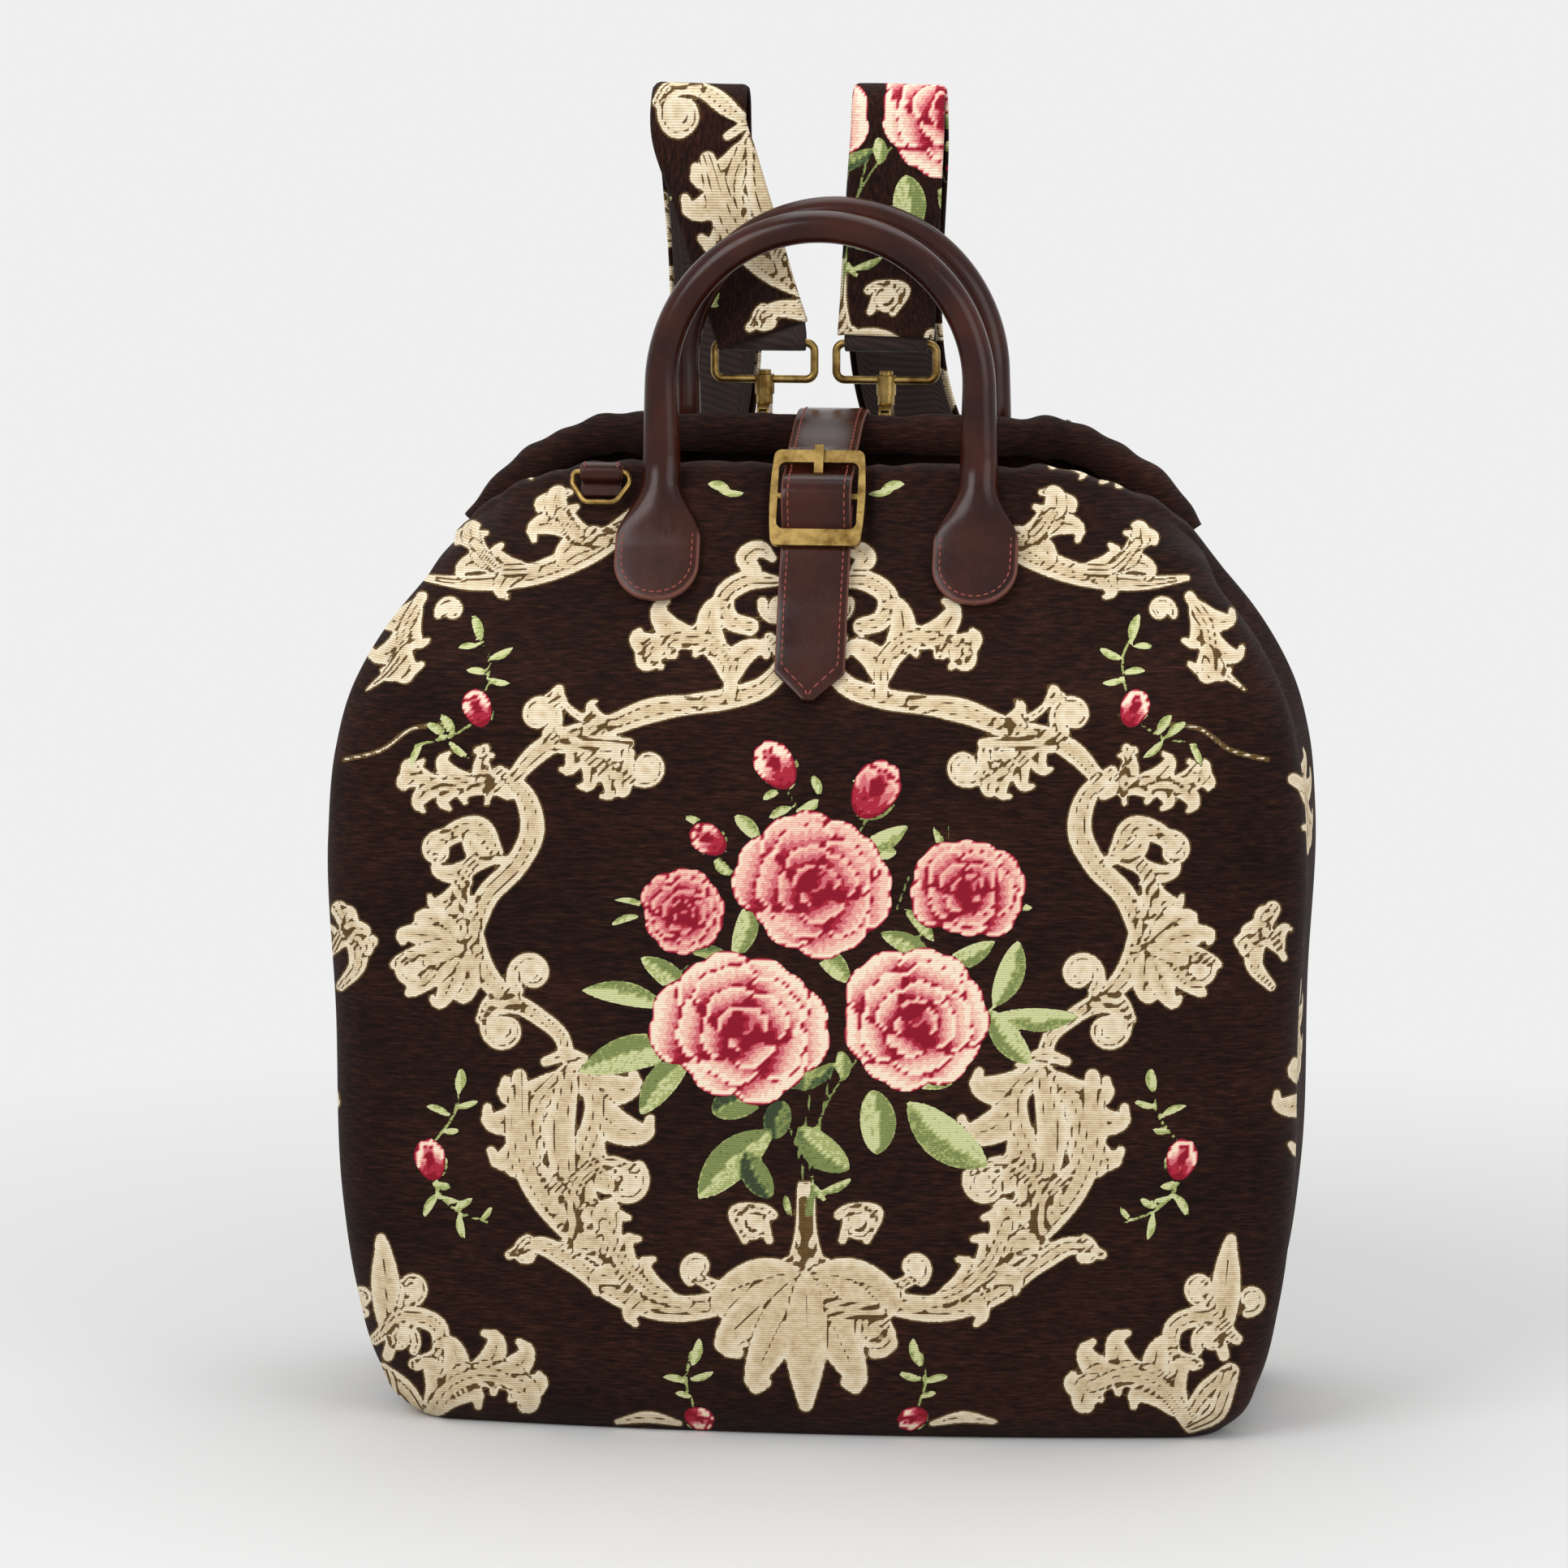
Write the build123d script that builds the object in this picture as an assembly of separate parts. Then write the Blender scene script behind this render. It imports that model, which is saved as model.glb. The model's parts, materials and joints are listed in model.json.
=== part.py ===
from build123d import *
import os
from math import atan2, cos, degrees, hypot, radians, sin, tan

# A carpet-bag style laptop backpack. Millimetres, +Z up, the front faces -Y.
# The origin is the middle of the base, on the surface that the bag stands on.

# Body
hinge_height = 342.0
base_width = 322.0
base_depth = 146.0
belly_width = 382.0
belly_depth = 176.0
foot_height = 22.0
lower_belly_height = 90.0
belly_height = 170.0
upper_belly_height = 245.0
shoulder_height = 300.0
shoulder_width = 366.0
yoke_height = 322.0
yoke_width = 345.0
hinge_level_width = 320.0
hinge_setback = 12.0
panel_crown = 12.0
panel_corner = 24.0
hinge_corner = 15.0
cloth = 3.0
seam_inset = 10.0
soft_gap = 0.4

# Mouth frame
bow_reach = 52.0
bow_half_span = 143.0
bow_corner_half_span = 100.0
bow_bend_radius = 20.0
bow_tube_radius = 4.0
bow_wall = 0.8
bow_start = 12.0
sleeve_start = 23.0
ear_thickness = 2.0
ear_radius = 6.0
rivet_radius = 2.0
rivet_head_radius = 4.2
rivet_head_height = 1.2
pin_clearance = 0.05
front_tilt = 45.0
back_tilt = -4.0
sleeve_thickness = 3.5
sleeve_gap = 0.4
hood_knee_reach = 20.0
hood_elbow_reach = 36.0
hood_elbow_half_span = 141.0

# Lining and inside
board_thickness = 3.0
board_inset = 8.0
lining_thickness = 1.2
lining_height = 312.0
laptop_sleeve_width = 290.0
laptop_sleeve_depth = 34.0
laptop_sleeve_height = 232.0
laptop_padding = 5.0
laptop_tab_width = 30.0
laptop_tab_thickness = 2.0
laptop_tab_drop = 55.0

# Handles
handle_half_span = 63.5
handle_radius = 6.4
handle_top = 490.0
tab_width = 34.0
tab_drop = 56.0
tab_corner = 15.0
tab_thickness = 4.0
tab_neck_width = 15.0
tab_shoulder_drop = 26.0

# Closing strap and buckle
strap_width = 28.0
strap_thickness = 2.4
strap_reach = 98.0
strap_point = 13.0
buckle_width = 38.0
buckle_height = 41.0
buckle_waist = 35.5
buckle_opening_width = 32.0
buckle_opening_height = 28.7
buckle_bottom_bar = 7.0
buckle_thickness = 2.5
buckle_rise = 7.0
buckle_bar_radius = 1.4
buckle_bar_drop = 12.5
chape_thickness = 2.3
chape_drop = 62.0
chape_slot = 5.4
prong_width = 3.6
prong_thickness = 2.2

# Side rings
side_ring_half_span = 87.5
side_ring_width = 25.0
side_ring_depth = 14.0
side_ring_wire = 1.1
ring_loop_length = 17.0
ring_loop_radius = 4.0

# Shoulder straps and their hooks
cover_width = 38.0
webbing_width = 34.0
webbing_thickness = 1.8
wrap_clearance = 0.3
wrap_leg = 2.5
face_thickness = 1.6
strap_top = 530.0
anchor_half_spacing = 25.0
anchor_shift = -6.0
hook_ring_height = 414.0
hook_ring_width = 41.0
hook_ring_rise = 15.0
hook_wire = 1.65
anchor_back = 44.0
hook_length = 37.0
hook_depth = 16.0
hook_width = 5.0
swivel_radius = 1.5
boss_radius = 4.0
gate_pivot_drop = 14.2
gate_pin_radius = 0.9
anchor_ring_width = 24.0
anchor_ring_depth = 15.0
anchor_ring_wire = 1.5
anchor_tab_drop = 26.0
lower_anchor_half_spacing = 112.0
lower_anchor_back = 92.5
lower_ring_height = 92.0
strap_rear = 99.5
strap_bend_height = 400.0
slider_height = 165.0
slider_width = 42.0
slider_length = 26.0
slider_bar = 3.0
slider_travel = 120.0
strap_top_middle = -19.0
strap_top_half_spacing = 41.0
anchor_lean = {"upper": 1.1, "lower": -14.5}

# Body sections: height, half width, front face and back face at the middle
body_levels = (
    (0, base_width / 2, -base_depth / 2, base_depth / 2),
    (foot_height, base_width / 2 + 11, -base_depth / 2 - 8, base_depth / 2 + 5),
    (lower_belly_height, belly_width / 2 - 5, -belly_depth / 2 - 2, belly_depth / 2 - 4),
    (belly_height, belly_width / 2 - 3, -belly_depth / 2 - 5, belly_depth / 2 - 4),
    (upper_belly_height, belly_width / 2, -belly_depth / 2 - 3, belly_depth / 2 - 11),
)

# The front and back faces above the shoulder, as lines in the side view
sleeve_radius = bow_tube_radius + sleeve_gap + sleeve_thickness
hood_reach = sleeve_radius + soft_gap + cloth


def bow_bar(tilt):
    """The middle of a bow's top bar in the side view, as y and z."""
    y = hinge_setback - bow_reach * sin(radians(tilt))
    return y, hinge_height + bow_reach * cos(radians(tilt))


def unit(y, z):
    """A direction in the side view, at length one."""
    return y / hypot(y, z), z / hypot(y, z)


class SidePlane:
    """A face of the bag near its mouth: s runs down it from its top, o stands out from it."""

    def __init__(self, tilt, slope, outward):
        self.normal = unit(outward * cos(radians(slope)), sin(radians(slope)))
        self.down = unit(outward * sin(radians(slope)), -cos(radians(slope)))
        bar_y, bar_z = bow_bar(tilt)
        self.top = (bar_y + hood_reach * self.normal[0], bar_z + hood_reach * self.normal[1])
        self.outward = outward

    def at(self, s, o):
        """The side-view point at drop s and stand-off o."""
        y = self.top[0] + s * self.down[0] + o * self.normal[0]
        return y, self.top[1] + s * self.down[1] + o * self.normal[1]

    def y_at(self, z):
        """Where the face lies at a height."""
        s = (z - self.top[1]) / self.down[1]
        return self.top[0] + s * self.down[0]

    def plane(self, s, o, x=0.0):
        """A sketch plane lying on the face, with its own y up the slope."""
        y, z = self.at(s, o)
        return Plane((x, y, z), x_dir=(-self.outward, 0, 0), z_dir=(0, *self.normal))


front_face = SidePlane(front_tilt, 29.7, -1)
back_face = SidePlane(back_tilt, 15.0, 1)


def section(z, half_width, front, back, corner):
    """A level section of the bag's body: crowned front and back, rounded corners."""
    front_edge = ThreePointArc(
        (-half_width, front + panel_crown), (0, front), (half_width, front + panel_crown)
    )
    back_edge = ThreePointArc(
        (half_width, back - panel_crown), (0, back), (-half_width, back - panel_crown)
    )
    right_edge = Line(front_edge @ 1, back_edge @ 0)
    left_edge = Line(back_edge @ 1, front_edge @ 0)
    face = make_face(front_edge + right_edge + back_edge + left_edge)
    return Pos(0, 0, z) * fillet(face.vertices(), corner)


def half_section(z, half_width, mouth, outer, corner, crown):
    """One side of the mouth in a level section, from the mouth's line to its outer face."""
    turn = -1 if outer < mouth else 1
    outer_edge = ThreePointArc(
        (-half_width, outer - turn * crown), (0, outer), (half_width, outer - turn * crown)
    )
    mouth_edge = Line((-half_width, mouth), (half_width, mouth))
    left_edge = Line(outer_edge @ 0, mouth_edge @ 0)
    right_edge = Line(outer_edge @ 1, mouth_edge @ 1)
    face = make_face(outer_edge + mouth_edge + left_edge + right_edge)
    outer_corners = face.vertices().sort_by(Axis.Y)
    outer_corners = outer_corners[:2] if turn < 0 else outer_corners[-2:]
    return Pos(0, 0, z) * fillet(outer_corners, corner)


def all_levels():
    """Every body level, up to the height of the hinge."""
    upper = (
        (shoulder_height, shoulder_width / 2, panel_corner),
        (yoke_height, yoke_width / 2, panel_corner - 4),
        (hinge_height, hinge_level_width / 2, hinge_corner),
    )
    lower = [(*level, panel_corner) for level in body_levels]
    return lower + [(z, w, front_face.y_at(z), back_face.y_at(z), c) for z, w, c in upper]


def body(inset):
    """The bag's body below the hinge as one solid, drawn in by an inset."""
    sections = [
        section(z, w - inset, front + inset, back - inset, corner - inset)
        for z, w, front, back, corner in all_levels()
    ]
    return loft(sections)


def slab(low, high):
    """All that lies between two heights."""
    middle = (low + high) / 2
    return Pos(0, 0, middle) * Box(3 * belly_width, 3 * belly_width, high - low)


def side(outward):
    """All that lies in front of the hinge line, or behind it."""
    return Pos(0, hinge_setback + outward * belly_width, 0) * Box(
        3 * belly_width, 2 * belly_width, 4 * belly_width
    )


def panel_prism():
    """The space between the two side seams, right through the bag."""
    right = [(w - seam_inset, z) for z, w, *others in all_levels()]
    left = [(-x, z) for x, z in reversed(right)]
    outline = Spline(*right) + Line(right[-1], left[0]) + Spline(*left) + Line(left[-1], right[0])
    face = make_face(Plane.XZ * outline)
    return extrude(face, belly_width, both=True)


def hood(face, tilt, outward):
    """The top of a panel: from the hinge's level in to the bow's bar, open to the mouth."""
    lean = radians(tilt)
    knee = hinge_height + hood_knee_reach * cos(lean)
    elbow = hinge_height + hood_elbow_reach * cos(lean)
    top_half = bow_corner_half_span + sleeve_radius + cloth + 5
    rows = (
        (hinge_height, hinge_level_width / 2, hinge_corner, panel_crown),
        (knee, hinge_level_width / 2 - 2, hinge_corner - 5, panel_crown - 3),
        (elbow, hood_elbow_half_span, hinge_corner - 9, panel_crown - 7),
        (face.top[1], top_half, 2.0, 0.4),
    )

    def solid(inset, opened):
        sections = []
        for z, w, corner, crown in rows:
            mouth = hinge_setback - (z - hinge_height) * tan(lean) - outward * opened
            outer = face.y_at(z) - outward * inset
            rounding = max(corner - inset, 0.5)
            sections.append(half_section(z, w - inset, mouth, outer, rounding, crown))
        return loft(sections, ruled=True)

    return solid(0, 0) - solid(cloth, 3 * cloth)


def bow_path(start):
    """A bow's U in its own plane: x across the bag and y up from the hinge."""
    return FilletPolyline(
        (-bow_half_span, start),
        (-bow_half_span, bow_start + 6),
        (-bow_corner_half_span, bow_reach),
        (bow_corner_half_span, bow_reach),
        (bow_half_span, bow_start + 6),
        (bow_half_span, start),
        radius=(4, bow_bend_radius, bow_bend_radius, 4),
    )


def sleeve_path():
    """The part of a bow's path that its cloth tunnel covers."""
    leg_drop = bow_reach - bow_start - 6
    splay = (bow_half_span - bow_corner_half_span) / leg_drop
    low_half = bow_half_span - (sleeve_start - bow_start - 6) * splay
    return FilletPolyline(
        (-low_half, sleeve_start),
        (-bow_corner_half_span, bow_reach),
        (bow_corner_half_span, bow_reach),
        (low_half, sleeve_start),
        radius=bow_bend_radius,
    )


def in_bow_plane(shape, tilt):
    """Set what is drawn in a bow's plane at its place, leaning forward by its tilt."""
    return Pos(0, hinge_setback, hinge_height) * Rot(90 + tilt, 0, 0) * shape


def tube(path, radius, bore=0.0):
    """A round tube or rod along a path."""
    profile = Circle(radius) - Circle(bore) if bore else Circle(radius)
    return sweep(Plane(path @ 0, z_dir=path % 0) * profile, path=path)


def bow(tilt, ear_offset):
    """A steel tube bow with a flat ear at each end for the hinge's rivet."""
    solid = tube(bow_path(bow_start), bow_tube_radius, bow_tube_radius - bow_wall)
    for turn in (-1, 1):
        x = turn * (bow_half_span + ear_offset)
        disc = Pos(x, 0, 0) * Rot(0, 90, 0) * Cylinder(ear_radius, ear_thickness)
        tongue = Pos(x, (bow_start + 4) / 2, 0) * Box(ear_thickness, bow_start + 4, 7)
        hole = Pos(x, 0, 0) * Rot(0, 90, 0) * Cylinder(rivet_radius + pin_clearance, 9)
        solid = solid + (disc + tongue - hole)
    return in_bow_plane(solid, tilt)


def sleeve(tilt):
    """The cloth tunnel round a bow."""
    return in_bow_plane(tube(sleeve_path(), sleeve_radius, bow_tube_radius + sleeve_gap), tilt)


def rivets(ear_gap):
    """The two hinge rivets, each through a front and a back ear."""
    found = []
    shank = 2 * ear_thickness + 3 * ear_gap
    for turn in (-1, 1):
        pin = Cylinder(rivet_radius, shank)
        for end in (-1, 1):
            pin += Pos(0, 0, end * (shank + rivet_head_height) / 2) * Cylinder(
                rivet_head_radius, rivet_head_height
            )
        found.append(Pos(turn * bow_half_span, hinge_setback, hinge_height) * Rot(0, 90, 0) * pin)
    return Compound(children=found)


def ribbon(points, width, thickness):
    """A flat strap along points x, y, z, with its width across the bag."""
    sections = []
    last = len(points) - 1
    for k, (x, y, z) in enumerate(points):
        before = points[max(k - 1, 0)]
        after = points[min(k + 1, last)]
        along = unit(after[1] - before[1], after[2] - before[2])
        plane = Plane((x, y, z), x_dir=(1, 0, 0), z_dir=(0, *along))
        sections.append(plane * Rectangle(width, thickness))
    spans = [loft(sections[k : k + 2], ruled=True) for k in range(last)]
    return spans[0].fuse(*spans[1:])


def shifted(points, distance):
    """The same strap path, moved sideways in the side view."""
    moved = []
    last = len(points) - 1
    for k, (x, y, z) in enumerate(points):
        before = points[max(k - 1, 0)]
        after = points[min(k + 1, last)]
        along = unit(after[1] - before[1], after[2] - before[2])
        moved.append((x, y + along[1] * distance, z - along[0] * distance))
    return moved


def handle(face, outward):
    """A rolled leather handle: two flared tabs on a face and an arch between them."""
    stand = soft_gap + tab_thickness / 2
    neck_y, neck_z = face.at(-4, soft_gap + handle_radius)
    arch_spring = handle_top - handle_radius - handle_half_span
    path = (
        Line((-handle_half_span, neck_y, neck_z), (-handle_half_span, neck_y, arch_spring))
        + ThreePointArc(
            (-handle_half_span, neck_y, arch_spring),
            (0, neck_y, handle_top - handle_radius),
            (handle_half_span, neck_y, arch_spring),
        )
        + Line((handle_half_span, neck_y, arch_spring), (handle_half_span, neck_y, neck_z))
    )
    solid = tube(Wire(path.edges()), handle_radius)
    outline = make_face(
        Polyline(
            (-tab_width / 2, -tab_drop),
            (tab_width / 2, -tab_drop),
            (tab_width / 2, -tab_shoulder_drop),
            (tab_neck_width / 2, -10),
            (-tab_neck_width / 2, -10),
            (-tab_width / 2, -tab_shoulder_drop),
            close=True,
        )
    )
    low = outline.vertices().sort_by(Axis.Y)[:2]
    outline = fillet(low, tab_corner)
    plate = face.plane(0, soft_gap, handle_half_span) * extrude(outline, tab_thickness)
    collar = Plane((handle_half_span, neck_y, neck_z)) * Circle(handle_radius)
    y, z = face.at(tab_shoulder_drop, stand)
    foot = Plane(
        (handle_half_span, y, z), x_dir=(1, 0, 0), z_dir=(0, -face.down[0], -face.down[1])
    )
    flare = loft([foot * Ellipse(tab_width / 2 - 3, tab_thickness / 2 + 0.6), collar])
    tab = plate.fuse(flare)
    return solid.fuse(tab, mirror(tab, Plane.YZ))


def strap_line():
    """The closing strap's path in the side view, from the back, over the mouth, to its tip."""
    over = (bow_bar(back_tilt)[0], bow_bar(back_tilt)[1] + sleeve_radius + 2.2)
    thread = buckle_rise - buckle_thickness / 2 - soft_gap - strap_thickness / 2
    hump = buckle_rise + buckle_bar_radius + 0.3 + chape_thickness + soft_gap + strap_thickness
    lie = soft_gap + strap_thickness / 2
    points = [
        back_face.at(20, lie + 0.8),
        back_face.at(6, lie + 1.2),
        back_face.at(-3, lie + 1.8),
        (over[0] + 6, over[1] - 0.3),
        over,
        (over[0] - 14, over[1] - 2),
        (bow_bar(front_tilt)[0], bow_bar(front_tilt)[1] + sleeve_radius + 7),
        front_face.at(-5, thread),
        front_face.at(-1, thread + 0.5),
        front_face.at(9, hump - 0.8),
        front_face.at(12.5, hump),
        front_face.at(16, hump - 0.8),
        front_face.at(26, thread + 0.4),
        front_face.at(34, thread),
        front_face.at(chape_drop, chape_thickness + lie + 0.4),
        front_face.at(chape_drop + 14, lie + 0.9),
        front_face.at(strap_reach, lie + 1.4),
    ]
    return [(0, y, z) for y, z in points]


def closing_strap():
    """The leather strap with its pointed tip and the slot for the prong."""
    solid = ribbon(strap_line(), strap_width, strap_thickness)
    plane = front_face.plane(0, 0)
    corner = Polyline(
        (0, -strap_reach - 1),
        (strap_width, -strap_reach - 1),
        (strap_width, -strap_reach + strap_point),
        (strap_width / 2, -strap_reach + strap_point),
        close=True,
    )
    wedge = extrude(make_face(corner), 20, both=True)
    solid = solid - plane * wedge - plane * mirror(wedge, Plane.YZ)
    slot = Pos(0, -3.2, 0) * Box(prong_width + 1, 11, 50)
    return solid - plane * slot


def buckle_frame():
    """The brass frame with barrel sides and the bar that the strap rides over."""
    half = buckle_height / 2
    sides = [
        ThreePointArc((turn * buckle_waist / 2, -half), (turn * buckle_width / 2, 0),
                      (turn * buckle_waist / 2, half))
        for turn in (1, -1)
    ]
    bars = [Line((-buckle_waist / 2, y), (buckle_waist / 2, y)) for y in (-half, half)]
    outline = fillet(make_face(sides + bars).vertices(), 3)
    opening = RectangleRounded(buckle_opening_width, buckle_opening_height, 3)
    lift = buckle_bottom_bar - (buckle_height - buckle_opening_height) / 2
    outline = outline - Pos(0, lift, 0) * opening
    ring = extrude(outline, buckle_thickness / 2, both=True)
    bar = Pos(0, lift, 0) * Rot(0, 90, 0) * Cylinder(
        buckle_bar_radius, buckle_opening_width + 1
    )
    return front_face.plane(buckle_bar_drop + lift, buckle_rise) * (ring + bar)


def on_bar(shape):
    """Set a round shape, drawn upright at the origin, on the buckle's bar."""
    return front_face.plane(buckle_bar_drop, buckle_rise) * (Rot(0, 90, 0) * shape)


def buckle_chape():
    """The leather loop that holds the buckle's bar, sewn to the front."""
    bore = buckle_bar_radius + 0.3
    outer = bore + chape_thickness
    length = chape_drop - buckle_bar_drop
    plate = front_face.plane(buckle_bar_drop + length / 2, soft_gap + chape_thickness / 2)
    solid = plate * Box(strap_width - 1, length, chape_thickness)
    web_height = buckle_rise - soft_gap - bore
    web = front_face.plane(buckle_bar_drop + 1.5, soft_gap + web_height / 2)
    solid += web * Box(strap_width - 1, 3, web_height)
    solid += on_bar(Cylinder(outer, strap_width - 1))
    solid -= on_bar(Cylinder(bore, strap_width + 4))
    slot = front_face.plane(buckle_bar_drop - 2, buckle_rise) * Box(chape_slot, 14, 12)
    return solid - slot


def buckle_prong():
    """The prong: an eye on the bar and a tongue through the strap on to the top bar."""
    bore = Cylinder(buckle_bar_radius + 0.08, prong_width)
    eye = on_bar(Cylinder(buckle_bar_radius + 1.9, prong_width) - bore)
    lie = buckle_rise + buckle_thickness / 2 + 0.1 + prong_thickness / 2
    points = [
        front_face.at(buckle_bar_drop - 2.3, buckle_rise + 0.6),
        front_face.at(4, buckle_rise + 1.2),
        front_face.at(-1, lie),
        front_face.at(-8.5, lie),
    ]
    return eye + ribbon([(0, y, z) for y, z in points], prong_width, prong_thickness)


def d_ring(width, depth, wire):
    """A wire D lying in its own plane: the straight bar at the origin, the bow below."""
    half = width / 2 - wire
    path = FilletPolyline(
        (-half, 0),
        (half, 0),
        (half, -depth * 0.35),
        (half * 0.55, -depth + wire),
        (-half * 0.55, -depth + wire),
        (-half, -depth * 0.35),
        radius=(1.7, 3.5, 4.5, 4.5, 3.5, 1.7),
        close=True,
    )
    start = Plane(path @ 0, z_dir=path % 0)
    return sweep(start * Circle(wire), path=path)


def ring_loop(face, x, drop, rise, wire, length, tail):
    """A leather roll round a ring's bar, with its sewn tail on the face."""
    bore = wire + 0.3
    roll = Rot(0, 90, 0) * (Cylinder(rise - soft_gap, length) - Cylinder(bore, length))
    thickness = 1.8
    plate = Pos(0, -tail / 2, -rise + soft_gap + thickness / 2) * Box(length, abs(tail), thickness)
    solid = roll + plate - Rot(0, 90, 0) * Cylinder(bore, length + 2)
    return face.plane(drop, rise, x) * solid


def hook_ring():
    """A hook's loop for the strap, with the boss that its stem turns in."""
    half = hook_ring_width / 2
    path = FilletPolyline(
        (0, 0), (half, 0), (half, hook_ring_rise), (-half, hook_ring_rise), (-half, 0), (0, 0.001),
        radius=(3.5, 3.5, 3.5, 3.5),
    )
    loop = Rot(90, 0, 0) * tube(path, hook_wire)
    boss = Pos(0, 0, -2) * Cylinder(boss_radius, 8)
    bore = Pos(0, 0, -2) * Cylinder(swivel_radius + pin_clearance, 12)
    return loop + boss - bore


def hook_body():
    """The snap hook: stem, neck and a J that the gate closes."""
    stem = Pos(0, 0, -2) * Cylinder(swivel_radius, 9)
    head = Pos(0, 0, 3) * Cylinder(swivel_radius + 1.2, 1.6)
    neck = Pos(0, 0, -8.1) * Cylinder(3.4, 4)
    tall = hook_length - 9
    outer = RectangleRounded(hook_depth, tall, 6.5)
    inner = Pos(0, -1, 0) * RectangleRounded(hook_depth - 6.8, tall - 7, 4.2)
    gap = Pos(-hook_depth / 2, 1.5, 0) * Rectangle(7, 9)
    profile = outer - inner - gap
    jay = Pos(0, 0, -9 - tall / 2) * extrude(Plane.YZ * profile, hook_width / 2, both=True)
    slot = Pos(0, -hook_depth / 2 + 2, -gate_pivot_drop - 1.5) * Box(3.3, 7.6, 8)
    pin = Pos(0, -hook_depth / 2 + 2.6, -gate_pivot_drop) * Rot(0, 90, 0) * Cylinder(
        gate_pin_radius + pin_clearance, 12
    )
    return stem + head + neck + jay - slot - pin


def hook_gate():
    """The sprung gate with its thumb nib, on its own pin."""
    y = -hook_depth / 2 + 2.6
    eye = Pos(0, y, -gate_pivot_drop) * Rot(0, 90, 0) * Cylinder(2.0, 2.9)
    pin = Pos(0, y, -gate_pivot_drop) * Rot(0, 90, 0) * Cylinder(gate_pin_radius, hook_width)
    arm = Pos(0, y, -gate_pivot_drop - 5.2) * Box(2.9, 1.9, 10.2)
    nib = Pos(0, y - 2, -gate_pivot_drop - 5) * Box(2.9, 3, 2.2)
    return eye + pin + arm + nib


def anchor_ring(x, y, height):
    """The ring on the bag that a hook clips to, standing up from its leather tab."""
    bow_level = height - hook_length + 3.5 + anchor_ring_wire + 0.3
    ring = d_ring(anchor_ring_width, anchor_ring_depth, anchor_ring_wire)
    bar_level = bow_level - (anchor_ring_depth - anchor_ring_wire)
    return Pos(x, y, bar_level) * Rot(-90, 0, 0) * ring, bar_level


def anchor_tab(x, y, bar_level, wall, length):
    """The leather tab round an anchor ring's bar, sewn flat to the back."""
    bore = anchor_ring_wire + 0.3
    outer = bore + 2
    width = anchor_ring_width - 9
    roll = Rot(0, 90, 0) * Cylinder(outer, width)
    plate = ribbon(
        [(0, -outer + 1, 0), (0, -outer + 1 + wall, -length)], width, 2.0
    )
    solid = roll + plate - Rot(0, 90, 0) * Cylinder(bore, width + 2)
    return Pos(x, y, bar_level) * solid


def fold_under(y, z, turn):
    """A webbing's turn under a hook loop's top bar, coming down on the side given by turn."""
    wrap = hook_wire + wrap_clearance + webbing_thickness / 2
    step = 30
    corner = wrap / cos(radians(step / 2))
    arc = [radians(angle) for angle in range(0, 181, step)]
    around = [(y + turn * corner * cos(a), z - corner * sin(a)) for a in arc]
    return [(y + turn * wrap, z + wrap_leg), *around, (y - turn * wrap, z + wrap_leg)]


def upper_line(hook_x, top_x):
    """The strap's sewn end and turn under the hook loop, then its way up, over and down."""
    bar = hook_ring_height + hook_ring_rise
    turn = fold_under(anchor_back, bar, 1)
    gap = webbing_thickness + face_thickness + 0.2
    lean = (top_x - hook_x) / (strap_top - bar - 14)
    tuck = [
        (hook_x + 30 * lean, anchor_back + 6.0 + gap, bar + 30),
        (hook_x + 16 * lean, anchor_back + 3.0 + gap, bar + 16),
        *((hook_x, y, z) for y, z in turn),
    ]
    outside = [
        (hook_x + 16 * lean, anchor_back + 3.0, bar + 16),
        (hook_x + 30 * lean, anchor_back + 6.0, bar + 30),
        (hook_x + 70 * lean, anchor_back + 13, bar + 70),
        (top_x, anchor_back + 17, strap_top - 14),
        (top_x, anchor_back + 20, strap_top - 4),
        (top_x, anchor_back + 27, strap_top),
        (top_x, anchor_back + 34, strap_top - 4),
        (top_x, anchor_back + 37, strap_top - 14),
        (top_x, strap_rear, strap_bend_height),
    ]
    return tuck, outside


def lower_line(lower_x):
    """The strap from the back's bend down to the lower hook's loop, as y and z turns included."""
    bar = lower_ring_height + hook_ring_rise
    turn = fold_under(lower_anchor_back, bar, 1)
    return [(lower_x, strap_rear, bar + 22), *((lower_x, y, z) for y, z in turn)]


def strap_tail(lower_x, slider_x):
    """The webbing that comes back up from the lower hook's loop to the slider."""
    bar = lower_ring_height + hook_ring_rise
    wrap = hook_wire + wrap_clearance + webbing_thickness / 2
    inner = strap_rear - webbing_thickness - slider_bar - 0.6
    points = [
        (lower_x, lower_anchor_back - wrap, bar + wrap_leg + 0.5),
        (lower_x, inner, bar + 22),
        (slider_x, inner, slider_height),
    ]
    return ribbon(points, webbing_width, webbing_thickness)


def laptop_sleeve():
    """The padded pocket inside the back, open at its top."""
    outer = Box(laptop_sleeve_width, laptop_sleeve_depth, laptop_sleeve_height)
    hollow = Pos(0, 0, laptop_padding) * Box(
        laptop_sleeve_width - 2 * laptop_padding,
        laptop_sleeve_depth - 2 * laptop_padding,
        laptop_sleeve_height,
    )
    return Pos(0, laptop_middle, laptop_floor + laptop_sleeve_height / 2) * (outer - hollow)


lining_floor = cloth + board_thickness + 2 * 0.3
laptop_floor = lining_floor + lining_thickness + 0.3
laptop_back = base_depth / 2 - panel_crown - cloth - soft_gap - lining_thickness - 0.4
laptop_middle = laptop_back - laptop_sleeve_depth / 2


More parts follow.
